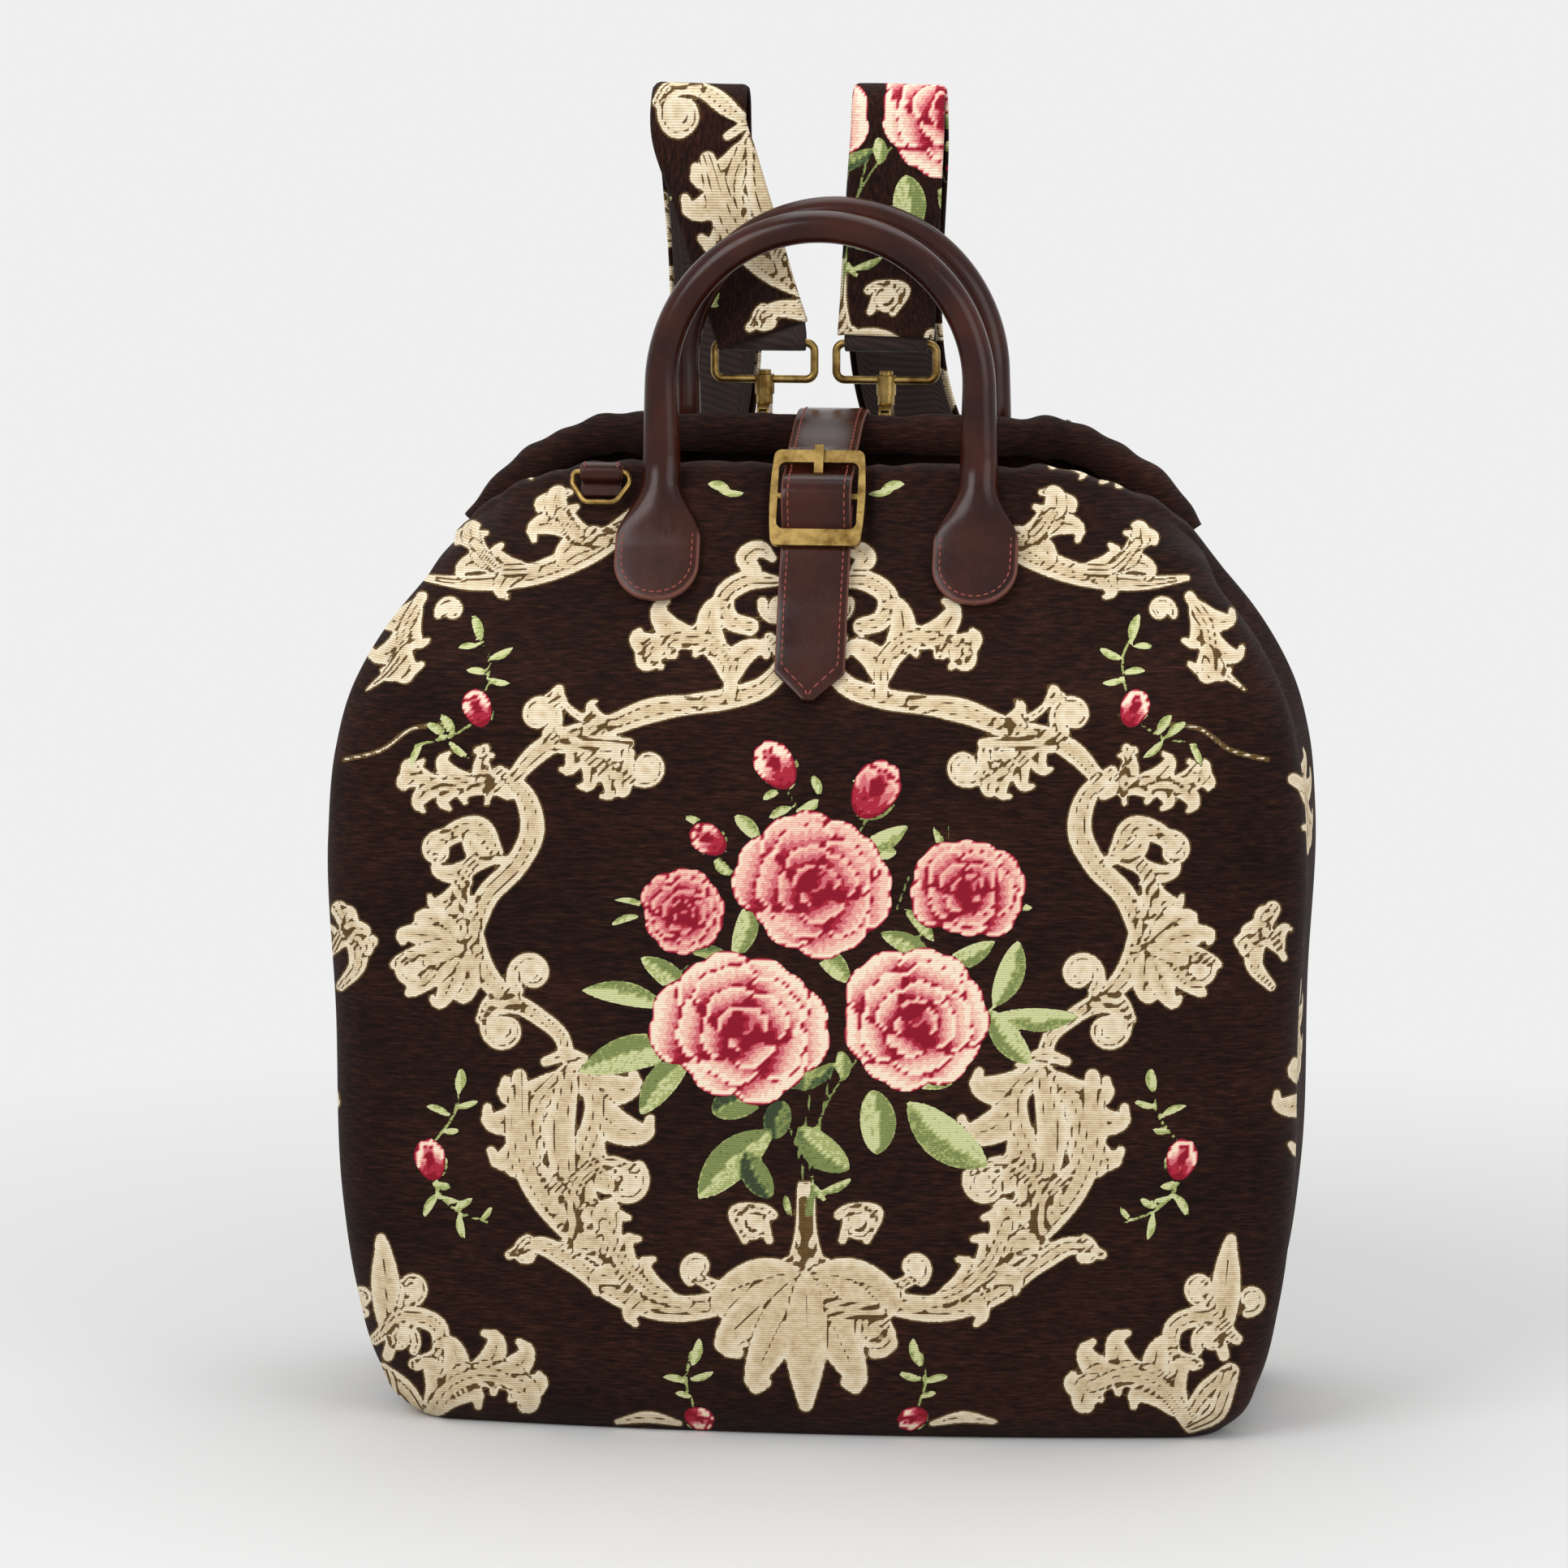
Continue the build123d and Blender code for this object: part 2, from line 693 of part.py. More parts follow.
def laptop_tab():
    """The strap over the pocket's mouth, from its back wall to its front."""
    low = laptop_floor + laptop_sleeve_height
    out = laptop_tab_thickness / 2 + 0.3
    back = laptop_back - laptop_padding - out
    front = laptop_middle - laptop_sleeve_depth / 2 - out
    points = [
        (0, back, low - laptop_tab_drop),
        (0, back, low + 2),
        (0, back - 3, low + 4.5),
        (0, front + 3, low + 4),
        (0, front, low + 1.5),
        (0, front, low - laptop_tab_drop),
    ]
    return ribbon(points, laptop_tab_width, laptop_tab_thickness)


def side_rings():
    """The two small rings for a long strap: front left and back right."""
    rise = soft_gap + ring_loop_radius
    for name, face, x in (
        ("front", front_face, -side_ring_half_span),
        ("back", back_face, side_ring_half_span),
    ):
        loop = ring_loop(face, x, 2.0, rise, side_ring_wire, ring_loop_length, 9.0)
        save(f"{name}_ring_loop", loop)
        ring = d_ring(side_ring_width, side_ring_depth, side_ring_wire)
        save(f"{name}_side_ring", face.plane(2.0, rise, x) * ring)


def slider(x, slant):
    """The strap adjuster: a wire frame with a middle bar, between the strap's two layers."""
    outer = RectangleRounded(slider_width, slider_length, 3)
    window = (slider_length - 3 * slider_bar) / 2
    opening = RectangleRounded(slider_width - 2 * slider_bar, window, 1.5)
    lift = (window + slider_bar) / 2
    plate = outer - Pos(0, lift, 0) * opening - Pos(0, -lift, 0) * opening
    frame = extrude(Plane.XZ * plate, slider_bar / 2, both=True)
    y = strap_rear - (webbing_thickness + slider_bar) / 2 - 0.3
    return Pos(x, y, slider_height) * Rot(0, slant, 0) * frame


def shoulder_strap(name, turn):
    """One shoulder strap with its hooks and the rings that they clip to."""
    upper_x = anchor_shift + turn * anchor_half_spacing
    top_x = strap_top_middle + turn * strap_top_half_spacing
    lower_x = turn * lower_anchor_half_spacing
    tuck, outside = upper_line(upper_x, top_x)
    lower = lower_line(lower_x)
    webbing = ribbon(tuck + outside + lower, webbing_width, webbing_thickness)
    save(f"{name}_strap_webbing", webbing)
    outside = tuck[-1:] + outside + lower[:1]
    cover = shifted(outside, -(webbing_thickness + face_thickness) / 2 - 0.05)
    save(f"{name}_strap_cover", ribbon(cover, cover_width, face_thickness))
    rise = strap_bend_height - lower[0][2]
    share = (slider_height - lower[0][2]) / rise
    slider_x = lower_x + (top_x - lower_x) * share
    slant = degrees(atan2(top_x - lower_x, rise))
    save(f"{name}_strap_slider", slider(slider_x, slant))
    save(f"{name}_strap_tail", strap_tail(lower_x, slider_x))
    for place, x, y, ring_z in (
        ("upper", upper_x, anchor_back, hook_ring_height),
        ("lower", lower_x, lower_anchor_back, lower_ring_height),
    ):
        at = Pos(x, y, ring_z)
        save(f"{name}_{place}_hook_loop", at * hook_ring())
        save(f"{name}_{place}_hook", at * hook_body())
        save(f"{name}_{place}_hook_gate", at * hook_gate())
        ring, bar_z = anchor_ring(x, y, ring_z)
        save(f"{name}_{place}_anchor_ring", ring)
        tab = anchor_tab(x, y, bar_z, anchor_lean[place], anchor_tab_drop)
        save(f"{name}_{place}_anchor_tab", tab)


def save(name, shape):
    """Write one sub-part as its own file."""
    export_step(shape, f"parts/{name}.step")


def main():
    """Build every sub-part."""
    os.makedirs("parts", exist_ok=True)
    outside = body(0)
    shell = outside & slab(cloth, hinge_height)
    shell = shell - body(cloth)
    between = panel_prism()
    panels = shell & between
    gussets = (shell - between).solids().sort_by(Axis.X)
    save("base_panel", outside & slab(-1, cloth))
    save("left_gusset", gussets[0])
    save("right_gusset", gussets[-1])
    save("front_panel", (panels & side(-1)) + hood(front_face, front_tilt, -1))
    save("back_panel", (panels & side(1)) + hood(back_face, back_tilt, 1))

    board = body(board_inset) & slab(cloth + 0.3, cloth + 0.3 + board_thickness)
    save("base_board", board)
    bag = body(cloth + soft_gap) & slab(lining_floor, lining_height)
    hollow = body(cloth + soft_gap + lining_thickness)
    save("lining", bag - (hollow & slab(lining_floor + lining_thickness, hinge_height)))
    save("laptop_sleeve", laptop_sleeve())
    save("laptop_tab", laptop_tab())

    save("front_bow", bow(front_tilt, -1.15))
    save("back_bow", bow(back_tilt, 1.15))
    save("front_frame_sleeve", sleeve(front_tilt))
    save("back_frame_sleeve", sleeve(back_tilt))
    save("hinge_rivets", rivets(0.3))
    save("front_handle", handle(front_face, -1))
    save("back_handle", handle(back_face, 1))

    save("closing_strap", closing_strap())
    save("buckle_chape", buckle_chape())
    save("buckle_frame", buckle_frame())
    save("buckle_prong", buckle_prong())
    side_rings()
    for side_name, turn in (("left", -1), ("right", 1)):
        shoulder_strap(side_name, turn)


main()
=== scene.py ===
"""A carpet-bag laptop backpack in scroll and rose brocade, dressed over its CAD frame."""

from __future__ import annotations

import json
import logging
import math
from dataclasses import dataclass, field
from enum import Enum
from typing import Callable, Sequence

import bmesh
import bpy
import numpy as np
from mathutils import Matrix, Vector


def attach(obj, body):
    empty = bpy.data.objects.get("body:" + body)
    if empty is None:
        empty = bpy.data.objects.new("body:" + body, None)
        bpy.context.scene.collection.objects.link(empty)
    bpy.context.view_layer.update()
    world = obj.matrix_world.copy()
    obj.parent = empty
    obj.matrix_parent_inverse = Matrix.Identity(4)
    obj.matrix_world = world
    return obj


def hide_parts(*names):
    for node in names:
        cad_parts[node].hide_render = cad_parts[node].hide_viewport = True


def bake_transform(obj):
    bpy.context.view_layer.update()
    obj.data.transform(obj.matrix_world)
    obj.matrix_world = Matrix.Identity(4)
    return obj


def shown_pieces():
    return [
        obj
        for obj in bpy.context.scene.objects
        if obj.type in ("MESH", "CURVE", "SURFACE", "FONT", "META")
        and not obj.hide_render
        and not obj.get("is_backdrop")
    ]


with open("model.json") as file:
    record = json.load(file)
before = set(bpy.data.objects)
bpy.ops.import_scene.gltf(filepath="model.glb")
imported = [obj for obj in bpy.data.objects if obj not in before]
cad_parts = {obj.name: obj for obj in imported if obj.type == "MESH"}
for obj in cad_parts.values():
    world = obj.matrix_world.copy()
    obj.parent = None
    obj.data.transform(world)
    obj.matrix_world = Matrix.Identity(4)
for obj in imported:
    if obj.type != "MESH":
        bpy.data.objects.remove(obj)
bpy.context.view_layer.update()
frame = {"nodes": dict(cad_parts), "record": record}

log = logging.getLogger("backpack")
Array = np.ndarray
Surface = Callable[[Array, Array], Array]
MM = 0.001
PHOTO_SIDE = 1932
DESIGN_MIDDLE = 993  # the design's middle, in the photo's units
UNIT_ACROSS = 0.31  # millimetres for one unit of the design, across the cloth
UNIT_UP = 0.313  # and up it


# Small helpers


def srgb(text: str) -> tuple[float, float, float, float]:
    """Turns a written colour into linear light.

    Args:
        text: The colour as six hexadecimal digits.

    Returns:
        Red, green, blue and alpha.
    """
    parts = [int(text[k : k + 2], 16) / 255 for k in (0, 2, 4)]
    linear = [c / 12.92 if c <= 0.04045 else ((c + 0.055) / 1.055) ** 2.4 for c in parts]
    return (linear[0], linear[1], linear[2], 1.0)


def ease(t: Array) -> Array:
    """Smooth rise from 0 to 1 of a value that is held between them."""
    t = np.clip(t, 0, 1)
    return t * t * (3 - 2 * t)


def through(x: Array, known: Sequence[float], values: Sequence[float]) -> Array:
    """Reads a smooth curve through a few known points.

    Args:
        x: Where the curve is read.
        known: Rising places of the known points.
        values: The curve's value at each.

    Returns:
        The curve's value at each x.
    """
    xs = np.asarray(known, float)
    ys = np.asarray(values, float)
    slope = np.gradient(ys, xs)
    k = np.clip(np.searchsorted(xs, x) - 1, 0, len(xs) - 2)
    h = xs[k + 1] - xs[k]
    t = np.clip((x - xs[k]) / h, 0, 1)
    a = (1 + 2 * t) * (1 - t) ** 2 * ys[k] + t * (1 - t) ** 2 * h * slope[k]
    b = t * t * (3 - 2 * t) * ys[k + 1] + t * t * (t - 1) * h * slope[k + 1]
    return a + b


def spline(points: Sequence[Sequence[float]], count: int) -> Array:
    """Points evenly spaced along a smooth curve through a few points.

    Args:
        points: The points the curve passes through.
        count: How many points come back.

    Returns:
        The points, one row each.
    """
    p = np.asarray(points, float)
    steps = np.r_[0, np.cumsum(np.linalg.norm(np.diff(p, axis=0), axis=1))]
    fine = np.linspace(0, steps[-1], 12 * len(p))
    curve = np.stack([through(fine, steps, p[:, k]) for k in range(p.shape[1])], 1)
    run = np.r_[0, np.cumsum(np.linalg.norm(np.diff(curve, axis=0), axis=1))]
    at = np.linspace(0, run[-1], count)
    return np.stack([np.interp(at, run, curve[:, k]) for k in range(p.shape[1])], 1)


def ripple(x: Array, y: Array, seed: int, octaves: int = 4) -> Array:
    """A gentle uneven field made of a few crossing waves.

    Args:
        x: First coordinate, in waves.
        y: Second coordinate, in waves.
        seed: Picks the waves.
        octaves: How many waves are added.

    Returns:
        Values from about -1 to 1.
    """
    rng = np.random.default_rng(seed)
    total = np.zeros_like(x, float)
    for _ in range(octaves):
        angle, phase = rng.uniform(0, 2 * math.pi, 2)
        scale = rng.uniform(0.7, 1.6)
        total += np.sin(scale * (x * math.cos(angle) + y * math.sin(angle)) * 6.28 + phase)
    return total / octaves


def link_mesh(name: str, bm: bmesh.types.BMesh, smooth: bool = True) -> bpy.types.Object:
    """Makes an object from a bmesh.

    Args:
        name: The object's name.
        bm: The shape; it is freed.
        smooth: Whether its faces are shaded smooth.

    Returns:
        The new object, at the origin.
    """
    mesh = bpy.data.meshes.new(name)
    bm.to_mesh(mesh)
    bm.free()
    mesh.polygons.foreach_set("use_smooth", [smooth] * len(mesh.polygons))
    made = bpy.data.objects.new(name, mesh)
    bpy.context.scene.collection.objects.link(made)
    return made


def grid_mesh(columns: int, rows: int, place: Surface) -> bmesh.types.BMesh:
    """A grid laid over a surface.

    Args:
        columns: Faces across.
        rows: Faces along.
        place: Gives the point, in millimetres, for u and v from 0 to 1.

    Returns:
        The grid, in metres.
    """
    bm = bmesh.new()
    bmesh.ops.create_grid(bm, x_segments=columns, y_segments=rows, size=0.5)
    bm.verts.index_update()
    co = np.array([v.co for v in bm.verts])
    uv = co[:, :2] + 0.5
    points = place(uv[:, 0], uv[:, 1]) * MM
    for vert, point in zip(bm.verts, points):
        vert.co = point
    layer = bm.loops.layers.uv.new("cloth")
    for face in bm.faces:
        for loop in face.loops:
            loop[layer].uv = uv[loop.vert.index]
    return bm


def closed_form(
    name: str, around: int, along: int, place: Surface, merge: float = 0.00002
) -> bpy.types.Object:
    """A closed tube-like form whose grid is joined along u and shut at both ends.

    Args:
        name: The object's name.
        around: Faces round the section.
        along: Faces along it.
        place: Gives the point for u, round the section, and v, along it.
        merge: How near points are joined, in metres.

    Returns:
        The new object.
    """
    bm = grid_mesh(around, along, place)
    bmesh.ops.remove_doubles(bm, verts=bm.verts, dist=merge)
    holes = [e for e in bm.edges if e.is_boundary]
    if holes:
        bmesh.ops.holes_fill(bm, edges=holes, sides=0)
    bmesh.ops.recalc_face_normals(bm, faces=bm.faces)
    return link_mesh(name, bm)


def point_values(obj: bpy.types.Object, name: str, values: Array) -> None:
    """Writes one number for each point of a piece's mesh under an attribute's name."""
    attribute = obj.data.attributes.new(name, "FLOAT", "POINT")
    attribute.data.foreach_set("value", np.asarray(values, np.float32))


def mesh_points(obj: bpy.types.Object) -> Array:
    """The points of a piece's mesh, in millimetres."""
    co = np.zeros(len(obj.data.vertices) * 3)
    obj.data.vertices.foreach_get("co", co)
    return co.reshape(-1, 3) / MM


def rounded(u: Array, half_width: Array, half_thickness: Array, power: Array) -> Array:
    """A rounded section, from a circle to a flat strap with soft edges.

    Args:
        u: Place round the section, from 0 to 1.
        half_width: Half of its width.
        half_thickness: Half of its thickness.
        power: 2 for an ellipse, more for a flatter one.

    Returns:
        Across and out, one row for each u.
    """
    c, s = np.cos(2 * math.pi * u), np.sin(2 * math.pi * u)
    across = np.sign(c) * np.abs(c) ** (2 / power) * half_width
    out = np.sign(s) * np.abs(s) ** (2 / power) * half_thickness
    return np.stack([across, out], 1)


@dataclass
class StrapPath:
    """A flat piece that follows a line in space, with its width mostly across the bag."""

    points: Sequence[Sequence[float]]
    samples: int = 120
    line: Array = field(init=False)
    out: Array = field(init=False)
    across: Array = field(init=False)
    length: float = field(init=False)

    def __post_init__(self) -> None:
        """Works out the line and the directions out of and across it."""
        self.line = spline(self.points, self.samples)
        along = np.gradient(self.line, axis=0)
        along /= np.linalg.norm(along, axis=1)[:, None]
        out = np.cross(along, [1.0, 0, 0])
        self.out = out / np.linalg.norm(out, axis=1)[:, None]
        self.across = np.cross(self.out, along)
        steps = np.linalg.norm(np.diff(self.line, axis=0), axis=1)
        self.length = float(steps.sum())

    def at(self, v: Array, across: Array, out: Array) -> Array:
        """A point beside the line.

        Args:
            v: Place along it, from 0 to 1.
            across: Distance across.
            out: Distance out of the strap's face.

        Returns:
            The points, in millimetres.
        """
        where = np.clip(v, 0, 1) * (self.samples - 1)
        index = np.arange(self.samples)

        def read(rows: Array) -> Array:
            return np.stack([np.interp(where, index, rows[:, k]) for k in range(3)], 1)

        return read(self.line) + read(self.across) * across[:, None] + read(self.out) * out[:, None]


# The woven design


@dataclass
class Weave:
    """The woven colours of the cloth, each kept as a distance from its edge, in pattern units.

    A pattern unit is the width of one figure thread, about a third of a millimetre. The
    design is drawn on a square of 1932 units and mirrored about its middle line.
    """

    x: Array
    y: Array
    middle: float = 993.0
    cream: Array = field(init=False)
    line: Array = field(init=False)
    green: Array = field(init=False)
    green_tone: Array = field(init=False)
    rose: Array = field(init=False)
    rose_tone: Array = field(init=False)

    def __post_init__(self) -> None:
        """Starts with bare ground cloth."""
        for name in ("cream", "line", "green", "rose"):
            setattr(self, name, np.full(len(self.x), 40.0))
        self.green_tone = np.zeros(len(self.x))
        self.rose_tone = np.zeros(len(self.x))

    def near(self, low: Array, high: Array, margin: float) -> Array:
        """The cloth points in a box of the design, as indices."""
        inside = (self.x > low[0] - margin) & (self.x < high[0] + margin)
        inside &= (self.y > low[1] - margin) & (self.y < high[1] + margin)
        return np.nonzero(inside)[0]

    def along(self, path: Array, radius: Array, margin: float = 14.0) -> tuple[Array, ...]:
        """Measures the cloth against a stroke.

        Args:
            path: The stroke's line.
            radius: Its half width at each point of the line.
            margin: How far past its edge it is measured.

        Returns:
            Indices of the points near it, distance to its edge, place along it from 0 to 1,
            signed distance from its line and half width there.
        """
        chosen = self.near(path.min(0), path.max(0), float(radius.max()) + margin)
        px, py = self.x[chosen], self.y[chosen]
        best = np.full(len(chosen), 1e3)
        place = np.zeros(len(chosen))
        offset = np.zeros(len(chosen))
        width = np.ones(len(chosen))
        last = len(path) - 1
        for k in range(last):
            ax, ay = path[k]
            dx, dy = path[k + 1] - path[k]
            length = math.hypot(dx, dy) + 1e-9
            t = np.clip(((px - ax) * dx + (py - ay) * dy) / length**2, 0, 1)
            ex, ey = px - ax - t * dx, py - ay - t * dy
            r = radius[k] + t * (radius[k + 1] - radius[k])
            distance = np.hypot(ex, ey) - r
            closer = distance < best
            best = np.where(closer, distance, best)
            place = np.where(closer, (k + t) / last, place)
            offset = np.where(closer, (dx * ey - dy * ex) / length, offset)
            width = np.where(closer, r, width)
        return chosen, best, place, offset, width

    def lay_cream(self, chosen: Array, edge: Array, line: Array) -> None:
        """Adds a cream figure, with a dark crease where it meets another."""
        old = self.cream[chosen]
        crease = np.where(old < 0, np.abs(edge), 40)
        kept = np.where(edge < 0, line, self.line[chosen])
        self.line[chosen] = np.minimum(kept, crease)
        self.cream[chosen] = np.minimum(old, edge)

    def stem(
        self, points: Sequence[Sequence[float]], widths: Sequence[float], lines: float = 0.42
    ) -> None:
        """A cream scroll stem with two shade lines that run along it.

        Args:
            points: The stem's few points.
            widths: Its full width, read evenly along it.
            lines: Where the shade lines lie, as a share of its half width.
        """
        path = spline(points, 8 + 5 * len(points))
        radius = through(np.linspace(0, 1, len(path)), np.linspace(0, 1, len(widths)), widths) / 2
        chosen, edge, place, offset, width = self.along(path, radius)
        line = np.abs(np.abs(offset) - lines * width) + np.where(width < 5.0, 9.0, 0.0)
        if lines == 0:
            line = np.abs(offset) + np.where((place < 0.12) | (place > 0.85), 9.0, 0.0)
        self.lay_cream(chosen, edge, line)

    def volute(
        self, x: float, y: float, size: float, start: float, turns: float, width: float
    ) -> None:
        """A cream scroll that winds in to a round eye.

        Args:
            x: Its middle.
            y: Its middle.
            size: The radius where it starts.
            start: The angle where it starts, in degrees.
            turns: Turns to its eye; a negative number winds the other way.
            width: The stroke's width where it starts.
        """
        t = np.linspace(0, 1, 26)
        angle = math.radians(start) + t * turns * 2 * math.pi
        reach = size * (1 - 0.80 * t**0.85)
        path = np.stack([x + reach * np.cos(angle), y + reach * np.sin(angle)], 1)
        radius = width / 2 * (1 - 0.45 * t) + 0.24 * size * np.clip((t - 0.8) / 0.2, 0, 1)
        chosen, edge, place, offset, around = self.along(path, radius)
        line = np.abs(offset - 0.2 * around) + np.where((place > 0.75) | (around < 3.5), 9.0, 0)
        self.lay_cream(chosen, edge, line)

    def lobe(self, base: Array, tip: Array, width: float, bend: float) -> None:
        """One lobe of an acanthus leaf: a tapered stroke with a blunt, turned tip."""
        run = tip - base
        side = np.array([-run[1], run[0]])
        knee = base + 0.55 * run + bend * side
        points = [base, knee, tip, tip - 0.06 * run - 0.9 * bend * side]
        path = spline(points, 14)
        t = np.linspace(0, 1, 14)
        radius = width / 2 * (0.5 + 0.85 * np.sin(math.pi * np.clip(t, 0, 0.93)) ** 0.8)
        radius *= 1 - 0.55 * t**2
        chosen, edge, place, offset, _ = self.along(path, radius)
        line = np.abs(offset) + np.where((place < 0.08) | (place > 0.72), 9.0, 0.0)
        self.lay_cream(chosen, edge, line)

    def acanthus(
        self,
        points: Sequence[Sequence[float]],
        size: float,
        lobes: int,
        sides: Sequence[int] = (1, -1),
        lean: float = 48.0,
        bend: float = 0.22,
        start: float = 0.12,
    ) -> None:
        """An acanthus leaf: lobes that leave a curved rib on its sides.

        Args:
            points: The rib's few points, from its base to its tip.
            size: The length of the longest lobe.
            lobes: Lobes on each side.
            sides: 1 for the left of the rib as it runs, -1 for the right.
            lean: The angle between rib and lobe, in degrees.
            bend: How much each lobe curls.
            start: Where the first lobe leaves the rib.
        """
        rib = spline(points, 24)
        size = 1.12 * size
        along = np.gradient(rib, axis=0)
        along /= np.linalg.norm(along, axis=1)[:, None]
        for side in sides:
            for k in range(lobes):
                t = start + (0.9 - start) * k / max(lobes - 1, 1)
                at = int(round(t * 23))
                angle = math.radians(-side * (lean - 14 * t))
                turn = np.array(
                    [[math.cos(angle), -math.sin(angle)], [math.sin(angle), math.cos(angle)]]
                )
                reach = size * (0.62 + 0.55 * math.sin(math.pi * (0.25 + 0.6 * t)))
                reach *= 0.72 if k == lobes - 1 else 1
                tip = rib[at] + turn @ along[at] * reach
                self.lobe(rib[at], tip, 0.50 * size, side * bend)
        self.stem(points, [0.30 * size, 0.34 * size, 0.26 * size], lines=0.0)

    def fan(
        self, x: float, y: float, heading: float, spread: float, length: float, count: int
    ) -> None:
        """A palmette: lobes that open out from one point.

        Args:
            x: Where they start.
            y: Where they start.
            heading: The middle lobe's direction, in degrees.
            spread: The angle between the outer lobes.
            length: The middle lobe's length.
            count: How many lobes there are.
        """
        base = np.array([x, y])
        for k in sorted(range(count), key=lambda n: -abs(n - (count - 1) / 2)):
            share = 2 * k / (count - 1) - 1
            angle = math.radians(heading + share * spread / 2)
            reach = length * (1 - 0.26 * abs(share) ** 1.6)
            tip = base + reach * np.array([math.cos(angle), math.sin(angle)])
            self.lobe(base, tip, length * 0.30, 0.16 * share)

    def leaf(self, base: Sequence[float], tip: Sequence[float], width: float, tone: float) -> None:
        """A green leaf with its midrib.

        Args:
            base: Where it starts.
            tip: Its point.
            width: Its full width.
            tone: 0 for the palest green to 1 for the darkest.
        """
        a, b = np.asarray(base, float), np.asarray(tip, float)
        run = b - a
        side = np.array([-run[1], run[0]])
        path = spline([a, a + 0.5 * run + 0.06 * side, b], 12)
        t = np.linspace(0, 1, 12)
        radius = 0.43 * width * np.sin(math.pi * np.clip(t, 0.02, 0.985)) ** 0.75
        chosen, edge, place, offset, _ = self.along(path, radius)
        length = float(np.linalg.norm(run))
        vein = np.abs(np.sin((place * length / 9.0 + np.abs(offset) / 16) * math.pi))
        shade = tone + 0.30 * np.sign(offset) * (1 - vein * 0.5)
        shade = np.where(np.abs(offset) < 0.9, tone - 0.5, shade)
        on_top = edge < np.minimum(self.green[chosen], 0.5)
        self.green_tone[chosen] = np.where(on_top | (edge < 0), shade, self.green_tone[chosen])
        self.green[chosen] = np.minimum(self.green[chosen], edge)
        self.cream[chosen] = np.where(edge < 0, 2.0, self.cream[chosen])

    def twig(self, points: Sequence[Sequence[float]], width: float = 4.0, tone: float = 0.4) -> None:
        """A thin green stem."""
        path = spline(points, 6 * len(points))
        chosen, edge, *_ = self.along(path, np.full(len(path), width / 2))
        lower = edge < self.green[chosen]
        self.green_tone[chosen] = np.where(lower, tone, self.green_tone[chosen])
        self.green[chosen] = np.minimum(self.green[chosen], edge)

    def petal(
        self, middle: Array, reach: float, across: float, angle: float, deep: float, pale: float
    ) -> None:
        """One rose petal, pale at its rim and deep at its base."""
        chosen = self.near(middle, middle, max(reach, across) + 4)
        dx, dy = self.x[chosen] - middle[0], self.y[chosen] - middle[1]
        out = dx * math.cos(angle) + dy * math.sin(angle)
        side = -dx * math.sin(angle) + dy * math.cos(angle)
        notch = 1 - 0.12 * np.exp(-((side / (0.22 * across)) ** 2)) * (out > 0)
        ratio = np.hypot(out / reach, side / across) / notch
        edge = (ratio - 1) * min(reach, across)
        streak = 0.07 * np.sin(side * 0.55 + 1.5 * np.sin(out * 0.15))
        tone = deep + (pale - deep) * ease((out / reach + 0.45) / 1.25) + streak
        tone = np.where(edge > -1.5, 0.14, tone)
        tone = np.where((edge <= -1.5) & (edge > -5.0) & (out > 0), pale + 0.14, tone)
        inside = edge < 0
        self.rose_tone[chosen] = np.where(inside, tone, self.rose_tone[chosen])
        self.rose[chosen] = np.minimum(self.rose[chosen], edge)
        self.green[chosen] = np.where(inside, 2.0, self.green[chosen])
        self.cream[chosen] = np.where(inside, 2.0, self.cream[chosen])

    def rose_head(
        self, x: float, y: float, wide: float, high: float, turn: float, glow: float
    ) -> None:
        """An open rose: rings of petals round a tight heart.

        Args:
            x: Its middle.
            y: Its middle.
            wide: Its half width.
            high: Its half height.
            turn: The first petal's angle, in degrees.
            glow: How pale its petals' rims are, from 0 to 1.
        """
        rings = ((0.64, 0.50, 6), (0.46, 0.44, 5), (0.27, 0.36, 4), (0.12, 0.25, 3))
        for ring, (out, size, count) in enumerate(rings):
            for k in range(count):
                angle = math.radians(turn + 360 * k / count + 31 * ring)
                squeeze = 1 + 0.12 * math.sin(2.3 * k + ring)
                middle = np.array(
                    [
                        x + wide * out * math.cos(angle) * squeeze,
                        y + high * out * math.sin(angle) * squeeze,
                    ]
                )
                heart = np.array([x, y + 0.12 * high])
                facing = math.atan2(middle[1] - heart[1], middle[0] - heart[0])
                deep = 0.12 - 0.03 * ring
                pale = 0.56 + 0.42 * glow - 0.07 * ring
                reach = size * (wide + high) / 2 * 0.80
                across = size * (wide + high) / 2 * (1.08 - 0.06 * ring)
                self.petal(middle, reach, across, facing, deep, pale)
        heart = np.array([x, y - 0.04 * high])
        self.petal(heart, 0.20 * high, 0.15 * wide, math.radians(turn), 0.05, 0.35)

